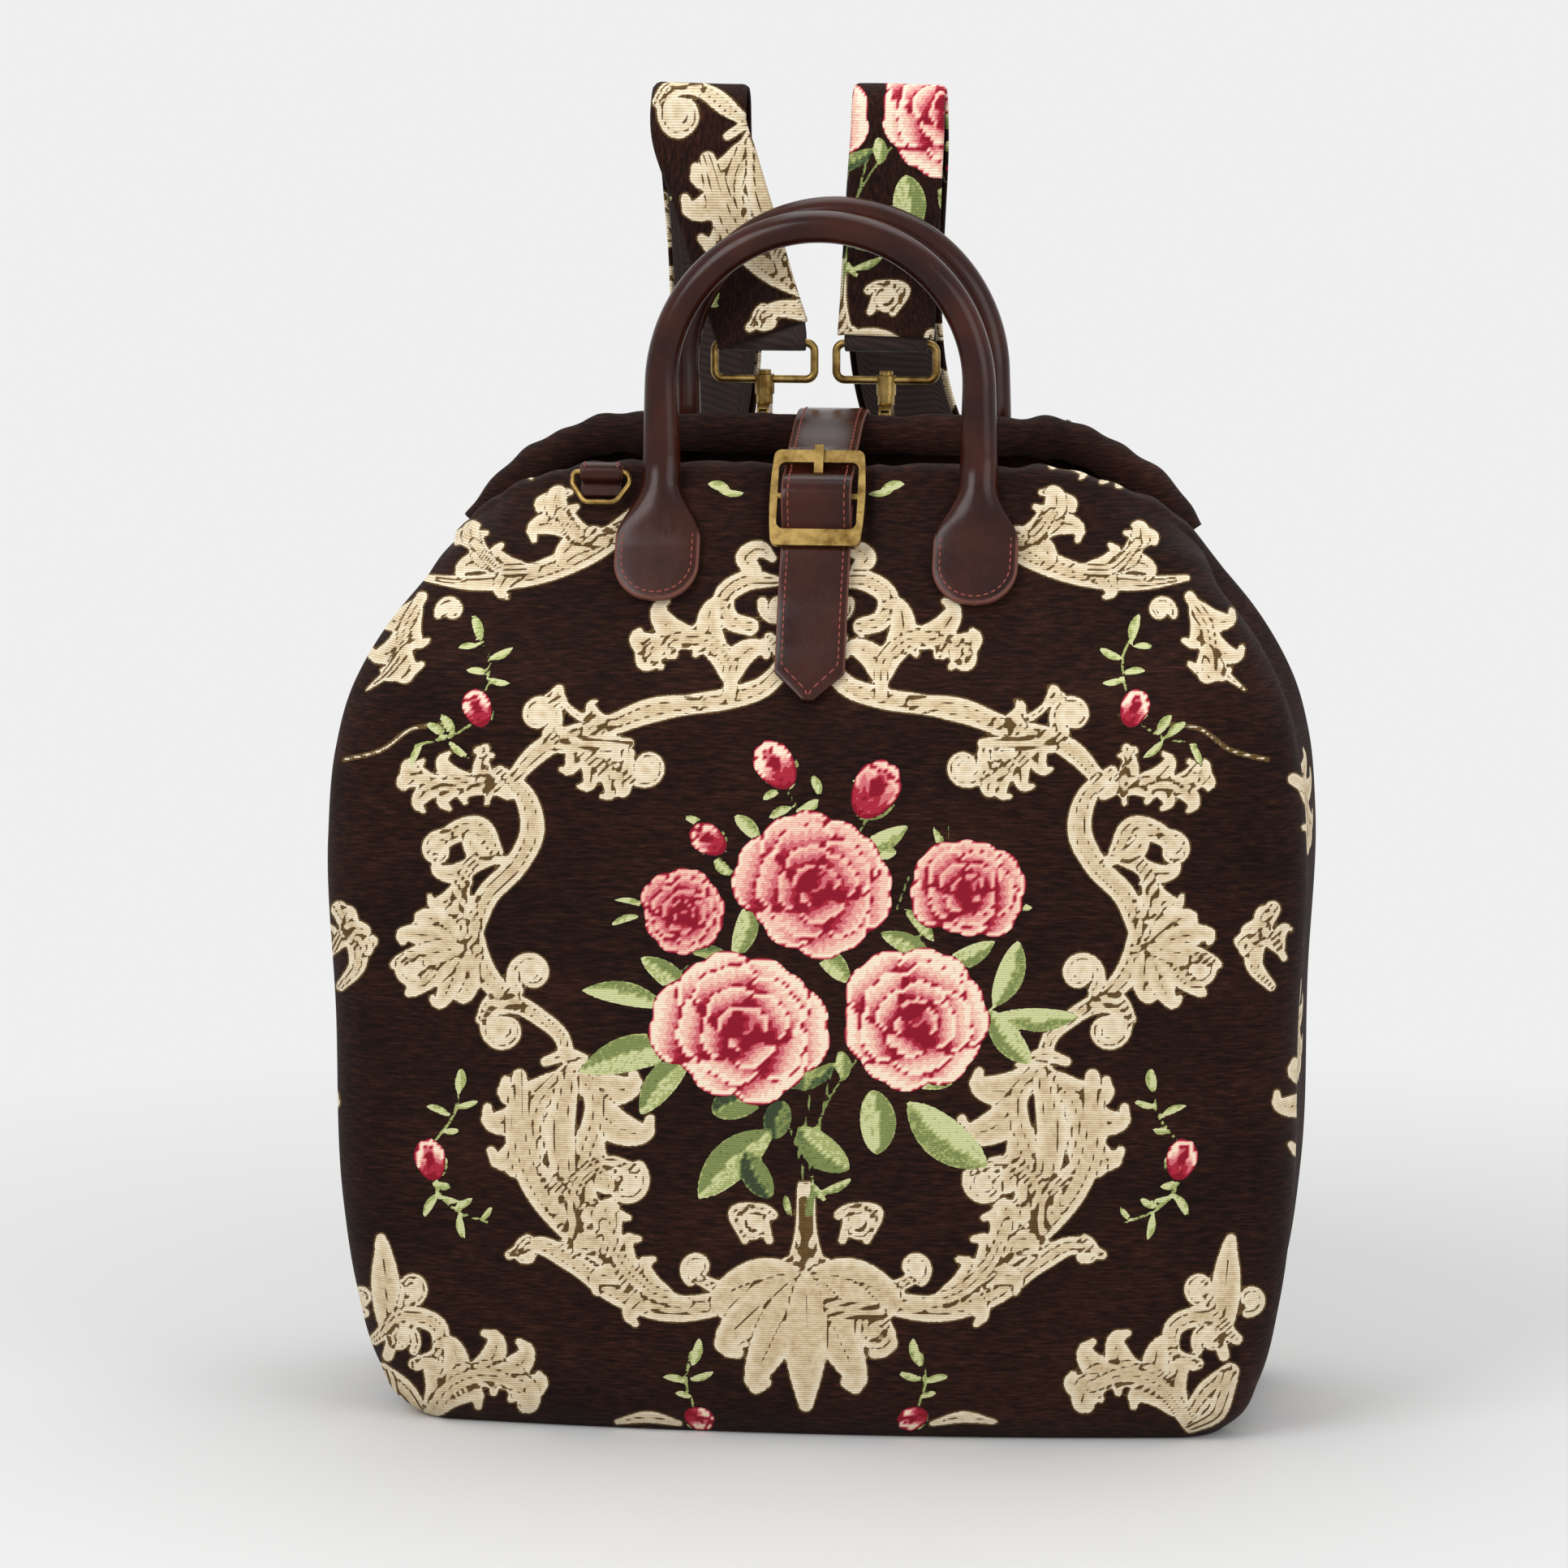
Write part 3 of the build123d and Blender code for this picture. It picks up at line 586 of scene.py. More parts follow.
    def bud(self, x: float, y: float, size: float, heading: float, glow: float) -> None:
        """A rose bud with green sepals at its foot.

        Args:
            x: Its middle.
            y: Its middle.
            size: Its half length.
            heading: The direction it points in, in degrees.
            glow: How pale it is, from 0 to 1.
        """
        angle = math.radians(heading)
        way = np.array([math.cos(angle), math.sin(angle)])
        side = np.array([-way[1], way[0]])
        middle = np.array([x, y])
        for turn in (-1, 1):
            foot = middle - way * size * 1.05
            self.leaf(foot, middle - way * 0.1 * size + side * turn * 0.75 * size, 0.4 * size, 0.3)
        self.petal(middle, size, 0.66 * size, angle, 0.25, 0.7 + 0.3 * glow)
        for turn in (-1, 1):
            offset = middle + side * turn * 0.28 * size - way * 0.12 * size
            self.petal(offset, 0.80 * size, 0.40 * size, angle + turn * 0.25, 0.3, 0.55 + 0.5 * glow)
        self.petal(middle + way * 0.22 * size, 0.5 * size, 0.25 * size, angle, 0.05, 0.3)

    def mirrored(self) -> "Weave":
        """The same cloth seen in the design's mirror, sharing its colours."""
        other = Weave(2 * self.middle - self.x, self.y, self.middle)
        for name in ("cream", "line", "green", "green_tone", "rose", "rose_tone"):
            setattr(other, name, getattr(self, name))
        return other


class Cartouche:
    """The baroque scroll frame, drawn for the left half and mirrored."""

    def draw(self, cloth: Weave) -> None:
        """Draws every figure of one half on the cloth."""
        self.crown(cloth)
        self.top_arc(cloth)
        self.side(cloth)
        self.foot(cloth)
        self.corners(cloth)
        self.sprigs(cloth)

    def crown(self, c: Weave) -> None:
        """The scrolls beside the closing strap and the upper corners' acanthus."""
        c.stem([(952, 688), (936, 676), (918, 688), (930, 702)], [10, 20, 24, 16], 0)
        c.stem([(958, 716), (918, 716), (892, 736), (900, 764), (924, 772)], [12, 24, 26, 24, 22])
        c.volute(958, 748, 20, 200, -1.3, 12)
        c.stem([(782, 636), (745, 668), (700, 692), (640, 712), (575, 718), (524, 712)],
               [22, 30, 30, 24, 18, 8])
        c.acanthus([(745, 668), (712, 660), (690, 632)], 42, 3, (1, -1), 40)
        c.acanthus([(660, 700), (615, 700), (584, 668)], 36, 3, (1, -1), 40)
        c.acanthus([(780, 640), (760, 650), (735, 655)], 24, 2, (1,), 40)
        c.volute(556, 752, 17, 160, 1.2, 10)
        c.acanthus([(520, 735), (500, 770), (492, 812)], 40, 3, (1, -1), 38)
        c.stem([(500, 800), (476, 830), (452, 850)], [12, 10, 3], 0)
        c.acanthus([(690, 574), (650, 566), (610, 584)], 26, 3, (1, -1), 42)
        c.stem([(760, 556), (700, 556), (640, 548), (600, 572)], [6, 14, 18, 6], 0)

    def top_arc(self, c: Weave) -> None:
        """The arc from the closing strap out to the side."""
        c.stem([(948, 786), (966, 812), (946, 842), (900, 860), (850, 868), (800, 878)],
               [14, 22, 26, 26, 24, 20])
        c.stem([(860, 866), (800, 876), (745, 896), (700, 906), (664, 926), (630, 962)],
               [20, 30, 26, 22, 26, 18])
        c.acanthus([(900, 858), (896, 812), (862, 786), (806, 796)], 46, 4, (1, -1), 44)
        c.volute(806, 806, 19, 0, -1.1, 13)
        c.acanthus([(760, 892), (710, 880), (690, 862)], 26, 2, (1, -1), 40)
        c.volute(664, 882, 25, 60, -1.25, 17)
        c.acanthus([(690, 900), (720, 930), (762, 958)], 34, 4, (1, -1), 44)
        c.volute(797, 944, 27, 215, -1.3, 15)
        c.stem([(690, 920), (730, 916), (775, 916)], [16, 20, 13])

    def side(self, c: Weave) -> None:
        """The S scrolls down the side, with their leaves and volutes."""
        c.stem([(616, 950), (646, 980), (656, 1022), (636, 1066), (600, 1104), (582, 1150)],
               [14, 26, 30, 28, 28, 24])
        c.stem([(582, 1140), (590, 1184), (618, 1224), (660, 1250), (692, 1278), (700, 1302)],
               [22, 30, 26, 22, 20, 18])
        c.acanthus([(626, 980), (586, 962), (552, 968), (512, 958)], 36, 4, (1, -1), 42)
        c.acanthus([(600, 990), (604, 955), (596, 930)], 20, 2, (1, -1), 40)
        c.stem([(610, 1050), (590, 1020), (560, 1026), (536, 1046)], [20, 28, 26, 16])
        c.volute(541, 1048, 21, 300, -1.1, 14)
        c.acanthus([(620, 1060), (586, 1060), (566, 1092), (560, 1124)], 34, 4, (1, -1), 44)
        c.acanthus([(590, 1170), (560, 1160), (540, 1180)], 28, 3, (1, -1), 42)
        c.fan(566, 1168, 152, 130, 84, 6)
        c.volute(508, 1190, 24, 20, 1.2, 14)
        c.volute(655, 1200, 27, 130, 1.35, 15)
        c.volute(622, 1268, 31, 300, -1.3, 17)
        c.stem([(636, 1236), (604, 1234), (592, 1256)], [16, 16, 12])

    def foot(self, c: Weave) -> None:
        """The lower acanthus, the sweeping arms and the palmette."""
        c.stem([(672, 1308), (700, 1300), (730, 1310)], [12, 16, 12], 0)
        c.acanthus([(700, 1318), (664, 1360), (652, 1410)], 58, 4, (-1,), 34, 0.2)
        c.acanthus([(706, 1318), (730, 1350), (716, 1420), (700, 1460)], 62, 5, (1,), 42, 0.2, 0.05)
        c.stem([(640, 1326), (640, 1400), (662, 1462), (700, 1512), (752, 1556)],
               [18, 34, 36, 30, 20])
        c.stem([(700, 1330), (690, 1400), (700, 1460), (716, 1500)], [26, 36, 30, 16])
        c.acanthus([(668, 1440), (700, 1480), (716, 1526)], 34, 4, (1, -1), 34)
        c.stem([(708, 1536), (702, 1490), (716, 1450), (752, 1432), (784, 1442)],
               [10, 20, 20, 17, 14])
        c.volute(770, 1458, 27, 310, 1.15, 15)
        c.stem([(628, 1546), (660, 1534), (706, 1556), (756, 1592), (820, 1612), (884, 1606),
                (934, 1584), (972, 1556)], [12, 24, 24, 28, 32, 30, 26, 16])
        c.volute(650, 1546, 20, 270, -0.6, 11)
        c.acanthus([(846, 1606), (800, 1590), (766, 1556), (744, 1508)], 46, 4, (1, -1), 40)
        c.stem([(926, 1584), (890, 1588), (862, 1576)], [14, 18, 14])
        c.volute(860, 1562, 19, 120, 1.15, 13)
        c.stem([(948, 1528), (930, 1490), (905, 1492), (918, 1528)], [10, 15, 13, 10], 0)
        c.volute(930, 1510, 26, 330, -1.15, 12)
        for share in (0.35, 1.0):
            c.stem([(993 - 6 * share, 1460), (993 - 9 * share, 1530), (993 - 26 * share, 1580),
                    (993 - 74 * share, 1618)], [9, 13, 17, 20])
        c.fan(993, 1580, 90, 150, 148, 7)
        c.volute(905, 1640, 22, 330, 1.1, 15)
        c.stem([(962, 1610), (930, 1616), (900, 1618)], [20, 20, 14])

    def corners(self, c: Weave) -> None:
        """The lily spears and scrolls at the bottom corners."""
        c.lobe(np.array([478.0, 1640.0]), np.array([468.0, 1528.0]), 30, 0.02)
        c.stem([(478, 1670), (496, 1610), (504, 1580)], [14, 17, 12], 0)
        c.volute(506, 1586, 20, 100, -1.1, 13)
        c.volute(446, 1600, 18, 80, 1.1, 12)
        c.stem([(462, 1650), (500, 1622), (540, 1636), (540, 1668), (510, 1680)],
               [14, 22, 24, 20, 14])
        c.volute(494, 1650, 21, 40, -1.3, 12)
        c.stem([(470, 1690), (500, 1716), (520, 1744)], [22, 26, 18])
        c.acanthus([(520, 1756), (560, 1706), (600, 1694), (640, 1708)], 50, 5, (1, -1), 40)
        c.stem([(474, 1700), (488, 1742), (520, 1760)], [26, 22, 12])
        c.stem([(760, 1752), (798, 1746), (838, 1754)], [6, 14, 6], 0)
        c.stem([(418, 1120), (436, 1150), (440, 1190), (420, 1215)], [20, 26, 22, 12])
        c.acanthus([(404, 1180), (424, 1150), (446, 1160)], 26, 3, (1, -1), 40)
        for drop in (0, 300):
            c.volute(372, 1330 + drop, 26, 90, 1.2, 15)
            c.acanthus([(330, 1300 + drop), (362, 1350 + drop), (350, 1410 + drop)], 44, 4)
            c.acanthus([(392, 960 - drop), (350, 990 - drop), (330, 1050 - drop)], 44, 4)

    def sprigs(self, c: Weave) -> None:
        """The thin rosebud sprigs between the scrolls."""
        c.twig([(585, 775), (602, 808), (600, 845), (592, 880), (560, 905), (512, 918)], 3.5)
        for base, tip, wide in (
            ((592, 792), (582, 756), 15), ((590, 796), (564, 798), 10),
            ((602, 812), (632, 798), 12), ((602, 830), (574, 826), 11),
            ((600, 836), (628, 842), 10), ((560, 906), (542, 880), 14),
            ((548, 908), (524, 890), 13), ((552, 912), (578, 934), 11),
            ((520, 916), (506, 944), 11),
        ):
            c.leaf(base, tip, wide, 0.15)
        c.bud(588, 872, 25, 250, 0.7)
        c.stem([(546, 892), (508, 898), (470, 924), (424, 936)], [2, 3, 3, 3], 0)
        c.twig([(566, 1336), (560, 1372), (534, 1412), (532, 1452), (560, 1490), (600, 1506)], 3.5)
        for base, tip, wide in (
            ((564, 1346), (568, 1316), 16), ((560, 1364), (590, 1356), 10),
            ((556, 1376), (524, 1362), 11), ((546, 1394), (566, 1392), 10),
            ((534, 1458), (556, 1462), 12), ((540, 1470), (522, 1500), 13),
            ((560, 1488), (582, 1476), 11), ((566, 1494), (572, 1528), 12),
            ((592, 1504), (606, 1486), 9), ((540, 1474), (566, 1480), 9),
        ):
            c.leaf(base, tip, wide, 0.15)
        c.bud(530, 1428, 27, 255, 0.6)
        c.twig([(850, 1668), (846, 1704), (856, 1736)], 3.5)
        for base, tip, wide in (
            ((852, 1684), (862, 1648), 15), ((848, 1704), (816, 1696), 11),
            ((848, 1700), (880, 1690), 11), ((850, 1722), (832, 1716), 9),
        ):
            c.leaf(base, tip, wide, 0.15)
        c.bud(862, 1748, 20, 20, 0.7)
        c.leaf((900, 604), (872, 596), 14, 0.15)
        c.leaf((884, 604), (918, 608), 10, 0.15)
        c.bud(706, 552, 17, 200, 0.2)


class Bouquet:
    """The rose bouquet in the middle, drawn once."""

    leaves = (
        ((1050, 1050), (1118, 1018), 30, 0.2), ((975, 1010), (1008, 985), 20, 0.15),
        ((935, 1035), (905, 1005), 22, 0.2), ((905, 1180), (925, 1110), 34, 0.3),
        ((900, 1180), (850, 1172), 20, 0.5), ((820, 1240), (718, 1220), 34, 0.25),
        ((850, 1230), (790, 1180), 34, 0.35), ((845, 1290), (715, 1320), 52, 0.3),
        ((850, 1300), (790, 1372), 44, 0.35), ((940, 1350), (880, 1370), 50, 0.75),
        ((965, 1360), (955, 1400), 40, 0.85), ((950, 1395), (862, 1475), 58, 0.35),
        ((920, 1420), (950, 1475), 40, 0.8), ((985, 1390), (1045, 1440), 48, 0.4),
        ((975, 1340), (1030, 1310), 24, 0.7), ((1080, 1420), (1075, 1345), 52, 0.3),
        ((1120, 1360), (1215, 1435), 62, 0.25), ((1135, 1340), (1190, 1310), 26, 0.2),
        ((1040, 1330), (1035, 1295), 22, 0.3), ((1225, 1240), (1255, 1160), 40, 0.25),
        ((1230, 1250), (1328, 1252), 34, 0.25), ((1220, 1245), (1270, 1310), 40, 0.3),
        ((1150, 1185), (1085, 1150), 30, 0.35), ((1160, 1190), (1225, 1160), 30, 0.3),
        ((1045, 1210), (1005, 1170), 32, 0.3), ((1150, 1160), (1115, 1120), 20, 0.3),
        ((1000, 1300), (990, 1345), 26, 0.6), ((1060, 1010), (1080, 990), 14, 0.2),
        ((1105, 1050), (1060, 1062), 22, 0.2), ((870, 1020), (842, 1006), 12, 0.2),
        ((880, 1060), (900, 1078), 14, 0.2), ((960, 975), (940, 985), 12, 0.2),
        ((975, 995), (948, 1008), 14, 0.2), ((1010, 980), (1000, 955), 14, 0.2),
        ((790, 1128), (752, 1140), 11, 0.3), ((800, 1118), (756, 1108), 9, 0.3),
        ((1240, 1108), (1274, 1120), 12, 0.2), ((1160, 1055), (1150, 1018), 11, 0.2),
        ((860, 1188), (840, 1202), 12, 0.5), ((1010, 1470), (1050, 1452), 13, 0.3),
        ((968, 1470), (975, 1500), 11, 0.3), ((1000, 1456), (1020, 1482), 10, 0.3),
    )
    roses = (
        (1004, 1088, 98, 84, 12, 0.55), (842, 1122, 54, 50, 40, 0.25),
        (1193, 1094, 72, 60, -20, 0.45), (914, 1264, 112, 84, 5, 0.85),
        (1128, 1254, 98, 80, 50, 0.90),
    )
    buds = (
        (955, 942, 34, 235, 1.0), (1079, 972, 40, 300, 0.15), (872, 1034, 26, 215, 0.4),
    )

    def draw(self, cloth: Weave) -> None:
        """Draws stems first, then leaves, then the flowers."""
        for points in (
            [(992, 1500), (988, 1440), (968, 1380), (940, 1340)],
            [(996, 1500), (998, 1420), (1030, 1340), (1060, 1300)],
            [(1000, 1500), (1008, 1400), (1024, 1320)],
            [(988, 1420), (1000, 1340), (1010, 1290)],
            [(962, 962), (985, 1000), (1000, 1030)], [(1070, 1004), (1052, 1040)],
            [(880, 1050), (910, 1080)], [(1140, 1140), (1120, 1180)],
            [(1160, 1056), (1166, 1040), (1168, 1018)], [(1120, 1080), (1105, 1120)],
        ):
            cloth.twig(points, 3.2, 0.5)
        for leaf in self.leaves:
            cloth.leaf(*leaf)
        for bud in self.buds:
            cloth.bud(*bud)
        for rose in self.roses:
            cloth.rose_head(*rose)


def weave_design(x: Array, y: Array) -> Weave:
    """The whole front design at points of the cloth.

    Args:
        x: Place across, in pattern units from the design's left edge.
        y: Place down from its top.

    Returns:
        The woven colours there.
    """
    cloth = Weave(x, y)
    frame_scrolls = Cartouche()
    frame_scrolls.draw(cloth)
    frame_scrolls.draw(cloth.mirrored())
    Bouquet().draw(cloth)
    return cloth


def keep_weave(obj: bpy.types.Object, cloth: Weave, unit: float = 0.33) -> None:
    """Writes a piece's woven colours on its mesh, with distances in millimetres."""
    for name in ("cream", "line", "green", "rose"):
        point_values(obj, name, getattr(cloth, name) * unit)
    point_values(obj, "green_tone", cloth.green_tone)
    point_values(obj, "rose_tone", cloth.rose_tone)


# Finishes


Socket = bpy.types.NodeSocket


@dataclass
class Graph:
    """Short ways to place nodes in a material or a node group."""

    tree: bpy.types.NodeTree

    def tree_material(self) -> bpy.types.Material:
        """The material that this tree belongs to."""
        return next(m for m in bpy.data.materials if m.node_tree == self.tree)

    def node(self, kind: str, **settings: object) -> bpy.types.Node:
        """Adds a node.

        Args:
            kind: The node's type.
            settings: Its settings.

        Returns:
            The node.
        """
        made = self.tree.nodes.new(kind)
        for name, value in settings.items():
            setattr(made, name, value)
        return made

    def feed(self, socket: Socket, value: object) -> None:
        """Links a socket, or sets its value."""
        if isinstance(value, bpy.types.NodeSocket):
            self.tree.links.new(value, socket)
        else:
            socket.default_value = value

    def math(self, operation: str, *values: object, clamp: bool = False) -> Socket:
        """A Math node's result for its inputs."""
        made = self.node("ShaderNodeMath", operation=operation, use_clamp=clamp)
        for socket, value in zip(made.inputs, values):
            self.feed(socket, value)
        return made.outputs[0]

    def ramp(self, value: object, low: float, high: float, start: float = 0, end: float = 1) -> Socket:
        """Maps a value from low..high to start..end, held at the ends."""
        made = self.node("ShaderNodeMapRange", clamp=True)
        for name, given in (
            ("Value", value), ("From Min", low), ("From Max", high),
            ("To Min", start), ("To Max", end),
        ):
            self.feed(made.inputs[name], given)
        return made.outputs[0]

    def mix(self, share: object, first: object, second: object, blend: str = "MIX") -> Socket:
        """Mixes two colours."""
        made = self.node("ShaderNodeMix", data_type="RGBA", blend_type=blend)
        self.feed(made.inputs[0], share)
        self.feed(made.inputs[6], first)
        self.feed(made.inputs[7], second)
        return made.outputs[2]

    def stretched(self, scale: tuple[float, float, float]) -> Socket:
        """Object coordinates, stretched by a scale along each axis."""
        coordinates = self.node("ShaderNodeTexCoord")
        mapping = self.node("ShaderNodeMapping")
        mapping.inputs["Scale"].default_value = scale
        self.feed(mapping.inputs["Vector"], coordinates.outputs["Object"])
        return mapping.outputs[0]

    def noise(self, vector: Socket, scale: float, detail: float = 2, rough: float = 0.5) -> Socket:
        """A noise value at a vector."""
        made = self.node("ShaderNodeTexNoise")
        made.inputs["Scale"].default_value = scale
        made.inputs["Detail"].default_value = detail
        made.inputs["Roughness"].default_value = rough
        self.feed(made.inputs["Vector"], vector)
        return made.outputs["Fac"]

    def reading(self, name: str) -> Socket:
        """A number kept on the mesh."""
        return self.node("ShaderNodeAttribute", attribute_name=name).outputs["Fac"]

    def steps(self, value: object, stops: Sequence[tuple[float, str]], soft: bool = False) -> Socket:
        """A colour for each range of a value."""
        made = self.node("ShaderNodeValToRGB")
        made.color_ramp.interpolation = "LINEAR" if soft else "CONSTANT"
        elements = made.color_ramp.elements
        while len(elements) < len(stops):
            elements.new(0.5)
        for element, (place, colour) in zip(elements, stops):
            element.position = place
            element.color = srgb(colour)
        self.feed(made.inputs[0], value)
        return made.outputs[0]


def shared_group(
    name: str, inputs: Sequence[tuple[str, str]], outputs: Sequence[tuple[str, str]]
) -> tuple[Graph, bpy.types.Node, bpy.types.Node]:
    """Starts a node group.

    Args:
        name: The group's name.
        inputs: Name and socket type of each input.
        outputs: Name and socket type of each output.

    Returns:
        Its graph, its input node and its output node.
    """
    tree = bpy.data.node_groups.new(name, "ShaderNodeTree")
    for label, kind in inputs:
        tree.interface.new_socket(name=label, in_out="INPUT", socket_type=kind)
    for label, kind in outputs:
        tree.interface.new_socket(name=label, in_out="OUTPUT", socket_type=kind)
    graph = Graph(tree)
    return graph, graph.node("NodeGroupInput"), graph.node("NodeGroupOutput")


FLOAT = "NodeSocketFloat"
COLOUR = "NodeSocketColor"
VECTOR = "NodeSocketVector"


def pile_group() -> bpy.types.NodeTree:
    """Chenille pile: short ribs that run across the cloth, and its uneven lie."""
    g, given, out = shared_group(
        "chenille_pile", [("Ribs", VECTOR)], [("Color", COLOUR), ("Height", FLOAT)]
    )
    fine = g.noise(given.outputs["Ribs"], 1.0, 3, 0.65)
    broad = g.noise(g.stretched((14, 14, 22)), 1.0, 2)
    # The colour share is mostly the rib height that also feeds the bump, so the pile is lighter on the ribs'
    # crests and darker in their hollows: a painted highlight and painted shade, over a random change of tone
    # from the broad noise.
    lift = g.math("ADD", g.math("MULTIPLY", fine, 0.85), g.math("MULTIPLY", broad, 0.30))
    colour = g.steps(
        lift, ((0.30, "090302"), (0.50, "180a06"), (0.66, "2b150e"), (0.84, "42251a")), True
    )
    g.feed(out.inputs["Color"], colour)
    g.feed(out.inputs["Height"], fine)
    return g.tree


def figure_group() -> bpy.types.NodeTree:
    """The woven figures: their colours, where they lie and their threads."""
    names = ("Cream", "Line", "Green", "GreenTone", "Rose", "RoseTone")
    g, given, out = shared_group(
        "woven_figure",
        [(name, FLOAT) for name in names] + [("Threads", VECTOR)],
        [("Color", COLOUR), ("Share", FLOAT), ("Fringe", FLOAT), ("Height", FLOAT)],
    )
    threads = given.outputs["Threads"]
    split = g.node("ShaderNodeSeparateXYZ")
    g.feed(split.inputs[0], threads)
    weft = g.math("SINE", g.math("MULTIPLY", split.outputs[2], 6.2832))
    ragged = g.math("SUBTRACT", g.noise(threads, 0.9, 2, 0.6), 0.5)
    mottle = g.noise(threads, 0.33, 2, 0.6)
    jag = g.math("MULTIPLY", ragged, 0.75)

    def inside(name: str, reach: float, noise: float = 1.0) -> Socket:
        """Where a distance, roughened by the weave, is under a reach."""
        edge = g.math("ADD", given.outputs[name], g.math("MULTIPLY", jag, noise))
        return g.ramp(edge, reach + 0.07, reach - 0.07)

    # Tone: random mottle plus a little of the weft wave, a painted highlight on the rows' crests.
    tone = g.math("ADD", g.math("MULTIPLY", mottle, 0.35), g.math("MULTIPLY", weft, 0.05))
    rim = g.ramp(given.outputs["Cream"], -3.4, -0.6, 0.36, 0.50)
    tone = g.math("ADD", tone, rim)
    cream = g.steps(
        tone, ((0.25, "8f7550"), (0.42, "b79c74"), (0.58, "dbc8a6"), (0.78, "efe4cc")), True
    )
    line = g.steps(tone, ((0.3, "3f2d18"), (0.6, "5e4727"), (0.9, "7d6238")), True)
    colour = g.mix(inside("Cream", 0.62), (0.08, 0.045, 0.025, 1), line)
    colour = g.mix(inside("Cream", 0.0), colour, cream)
    shade = g.math("MULTIPLY", inside("Line", 0.40, 0.22), inside("Cream", -0.3, 0.3))
    colour = g.mix(shade, colour, line)
    green_tone = g.math("ADD", given.outputs["GreenTone"], g.math("MULTIPLY", ragged, 0.55))
    green = g.steps(
        green_tone,
        ((0.0, "c9cd97"), (0.14, "a4ac6c"), (0.42, "7c8850"), (0.66, "576840"), (0.90, "3a4630")),
    )
    colour = g.mix(inside("Green", 0.0, 0.6), colour, green)
    rose_tone = g.math("ADD", given.outputs["RoseTone"], g.math("MULTIPLY", ragged, 0.16))
    rose = g.steps(
        rose_tone,
        ((0.0, "8a1529"), (0.22, "a8283a"), (0.36, "cf6a72"), (0.52, "e59d94"),
         (0.68, "f0c3ae"), (0.84, "f7e0c8")),
    )
    colour = g.mix(inside("Rose", 0.0, 0.6), colour, rose)
    # Each weft row is darker in the groove between rows and lighter on its crest, following the weft wave
    # that also shapes the relief: painted shade and highlight of the threads, multiplied over the figure
    # colours.
    thread = g.ramp(weft, -1, 1, 0.80, 1.06)
    colour = g.mix(1.0, colour, thread, "MULTIPLY")
    share = g.math("MAXIMUM", inside("Cream", 0.0), inside("Green", 0.0, 0.6))
    share = g.math("MAXIMUM", share, inside("Rose", 0.0, 0.6))
    fringe = g.math("MAXIMUM", share, g.math("MULTIPLY", inside("Cream", 0.62), 0.8))
    g.feed(out.inputs["Color"], colour)
    g.feed(out.inputs["Share"], share)
    g.feed(out.inputs["Fringe"], fringe)
    relief = g.math("ADD", g.math("MULTIPLY", weft, 0.10), g.math("MULTIPLY", mottle, 0.3))
    g.feed(out.inputs["Height"], relief)
    return g.tree


def grain_group() -> bpy.types.NodeTree:
    """Smooth leather's grain: small cells and a slow change of colour."""
    g, _, out = shared_group(
        "leather_grain", [], [("Cells", FLOAT), ("Drift", FLOAT), ("Scuffs", FLOAT)]
    )
    cells = g.node("ShaderNodeTexVoronoi", feature="DISTANCE_TO_EDGE")
    cells.inputs["Scale"].default_value = 1500
    g.feed(cells.inputs["Vector"], g.stretched((1, 1, 0.8)))
    g.feed(out.inputs["Cells"], g.ramp(cells.outputs["Distance"], 0.0, 0.35))
    g.feed(out.inputs["Drift"], g.noise(g.stretched((1, 1, 1)), 42, 3))
    g.feed(out.inputs["Scuffs"], g.noise(g.stretched((1, 1, 0.35)), 420, 4, 0.7))
    return g.tree


def patina_group() -> bpy.types.NodeTree:
    """Antique metal's patina: dark hollows and rubbed places."""
    g, _, out = shared_group("patina", [], [("Rubbed", FLOAT), ("Specks", FLOAT)])
    rubbed = g.noise(g.stretched((1, 1, 1)), 130, 4, 0.6)
    g.feed(out.inputs["Rubbed"], g.ramp(rubbed, 0.36, 0.62))
    g.feed(out.inputs["Specks"], g.noise(g.stretched((1, 1, 1)), 900, 3, 0.6))
    return g.tree


def weave_group() -> bpy.types.NodeTree:
    """A plain or twill weave from the piece's own cloth coordinates."""
    g, given, out = shared_group(
        "plain_weave", [("Across", FLOAT), ("Along", FLOAT)], [("Height", FLOAT), ("Fuzz", FLOAT)]
    )
    uv = g.node("ShaderNodeUVMap", uv_map="cloth")
    split = g.node("ShaderNodeSeparateXYZ")
    g.feed(split.inputs[0], uv.outputs[0])
    across = g.math("MULTIPLY", split.outputs[0], given.outputs["Across"])
    along = g.math("MULTIPLY", split.outputs[1], given.outputs["Along"])
    twill = g.math("SINE", g.math("MULTIPLY", g.math("ADD", across, along), 6.2832))
    warp = g.math("SINE", g.math("MULTIPLY", across, 6.2832))
    g.feed(out.inputs["Height"], g.math("ADD", twill, g.math("MULTIPLY", warp, 0.5)))
    g.feed(out.inputs["Fuzz"], g.noise(g.stretched((1, 1, 1)), 700, 3, 0.6))
    return g.tree


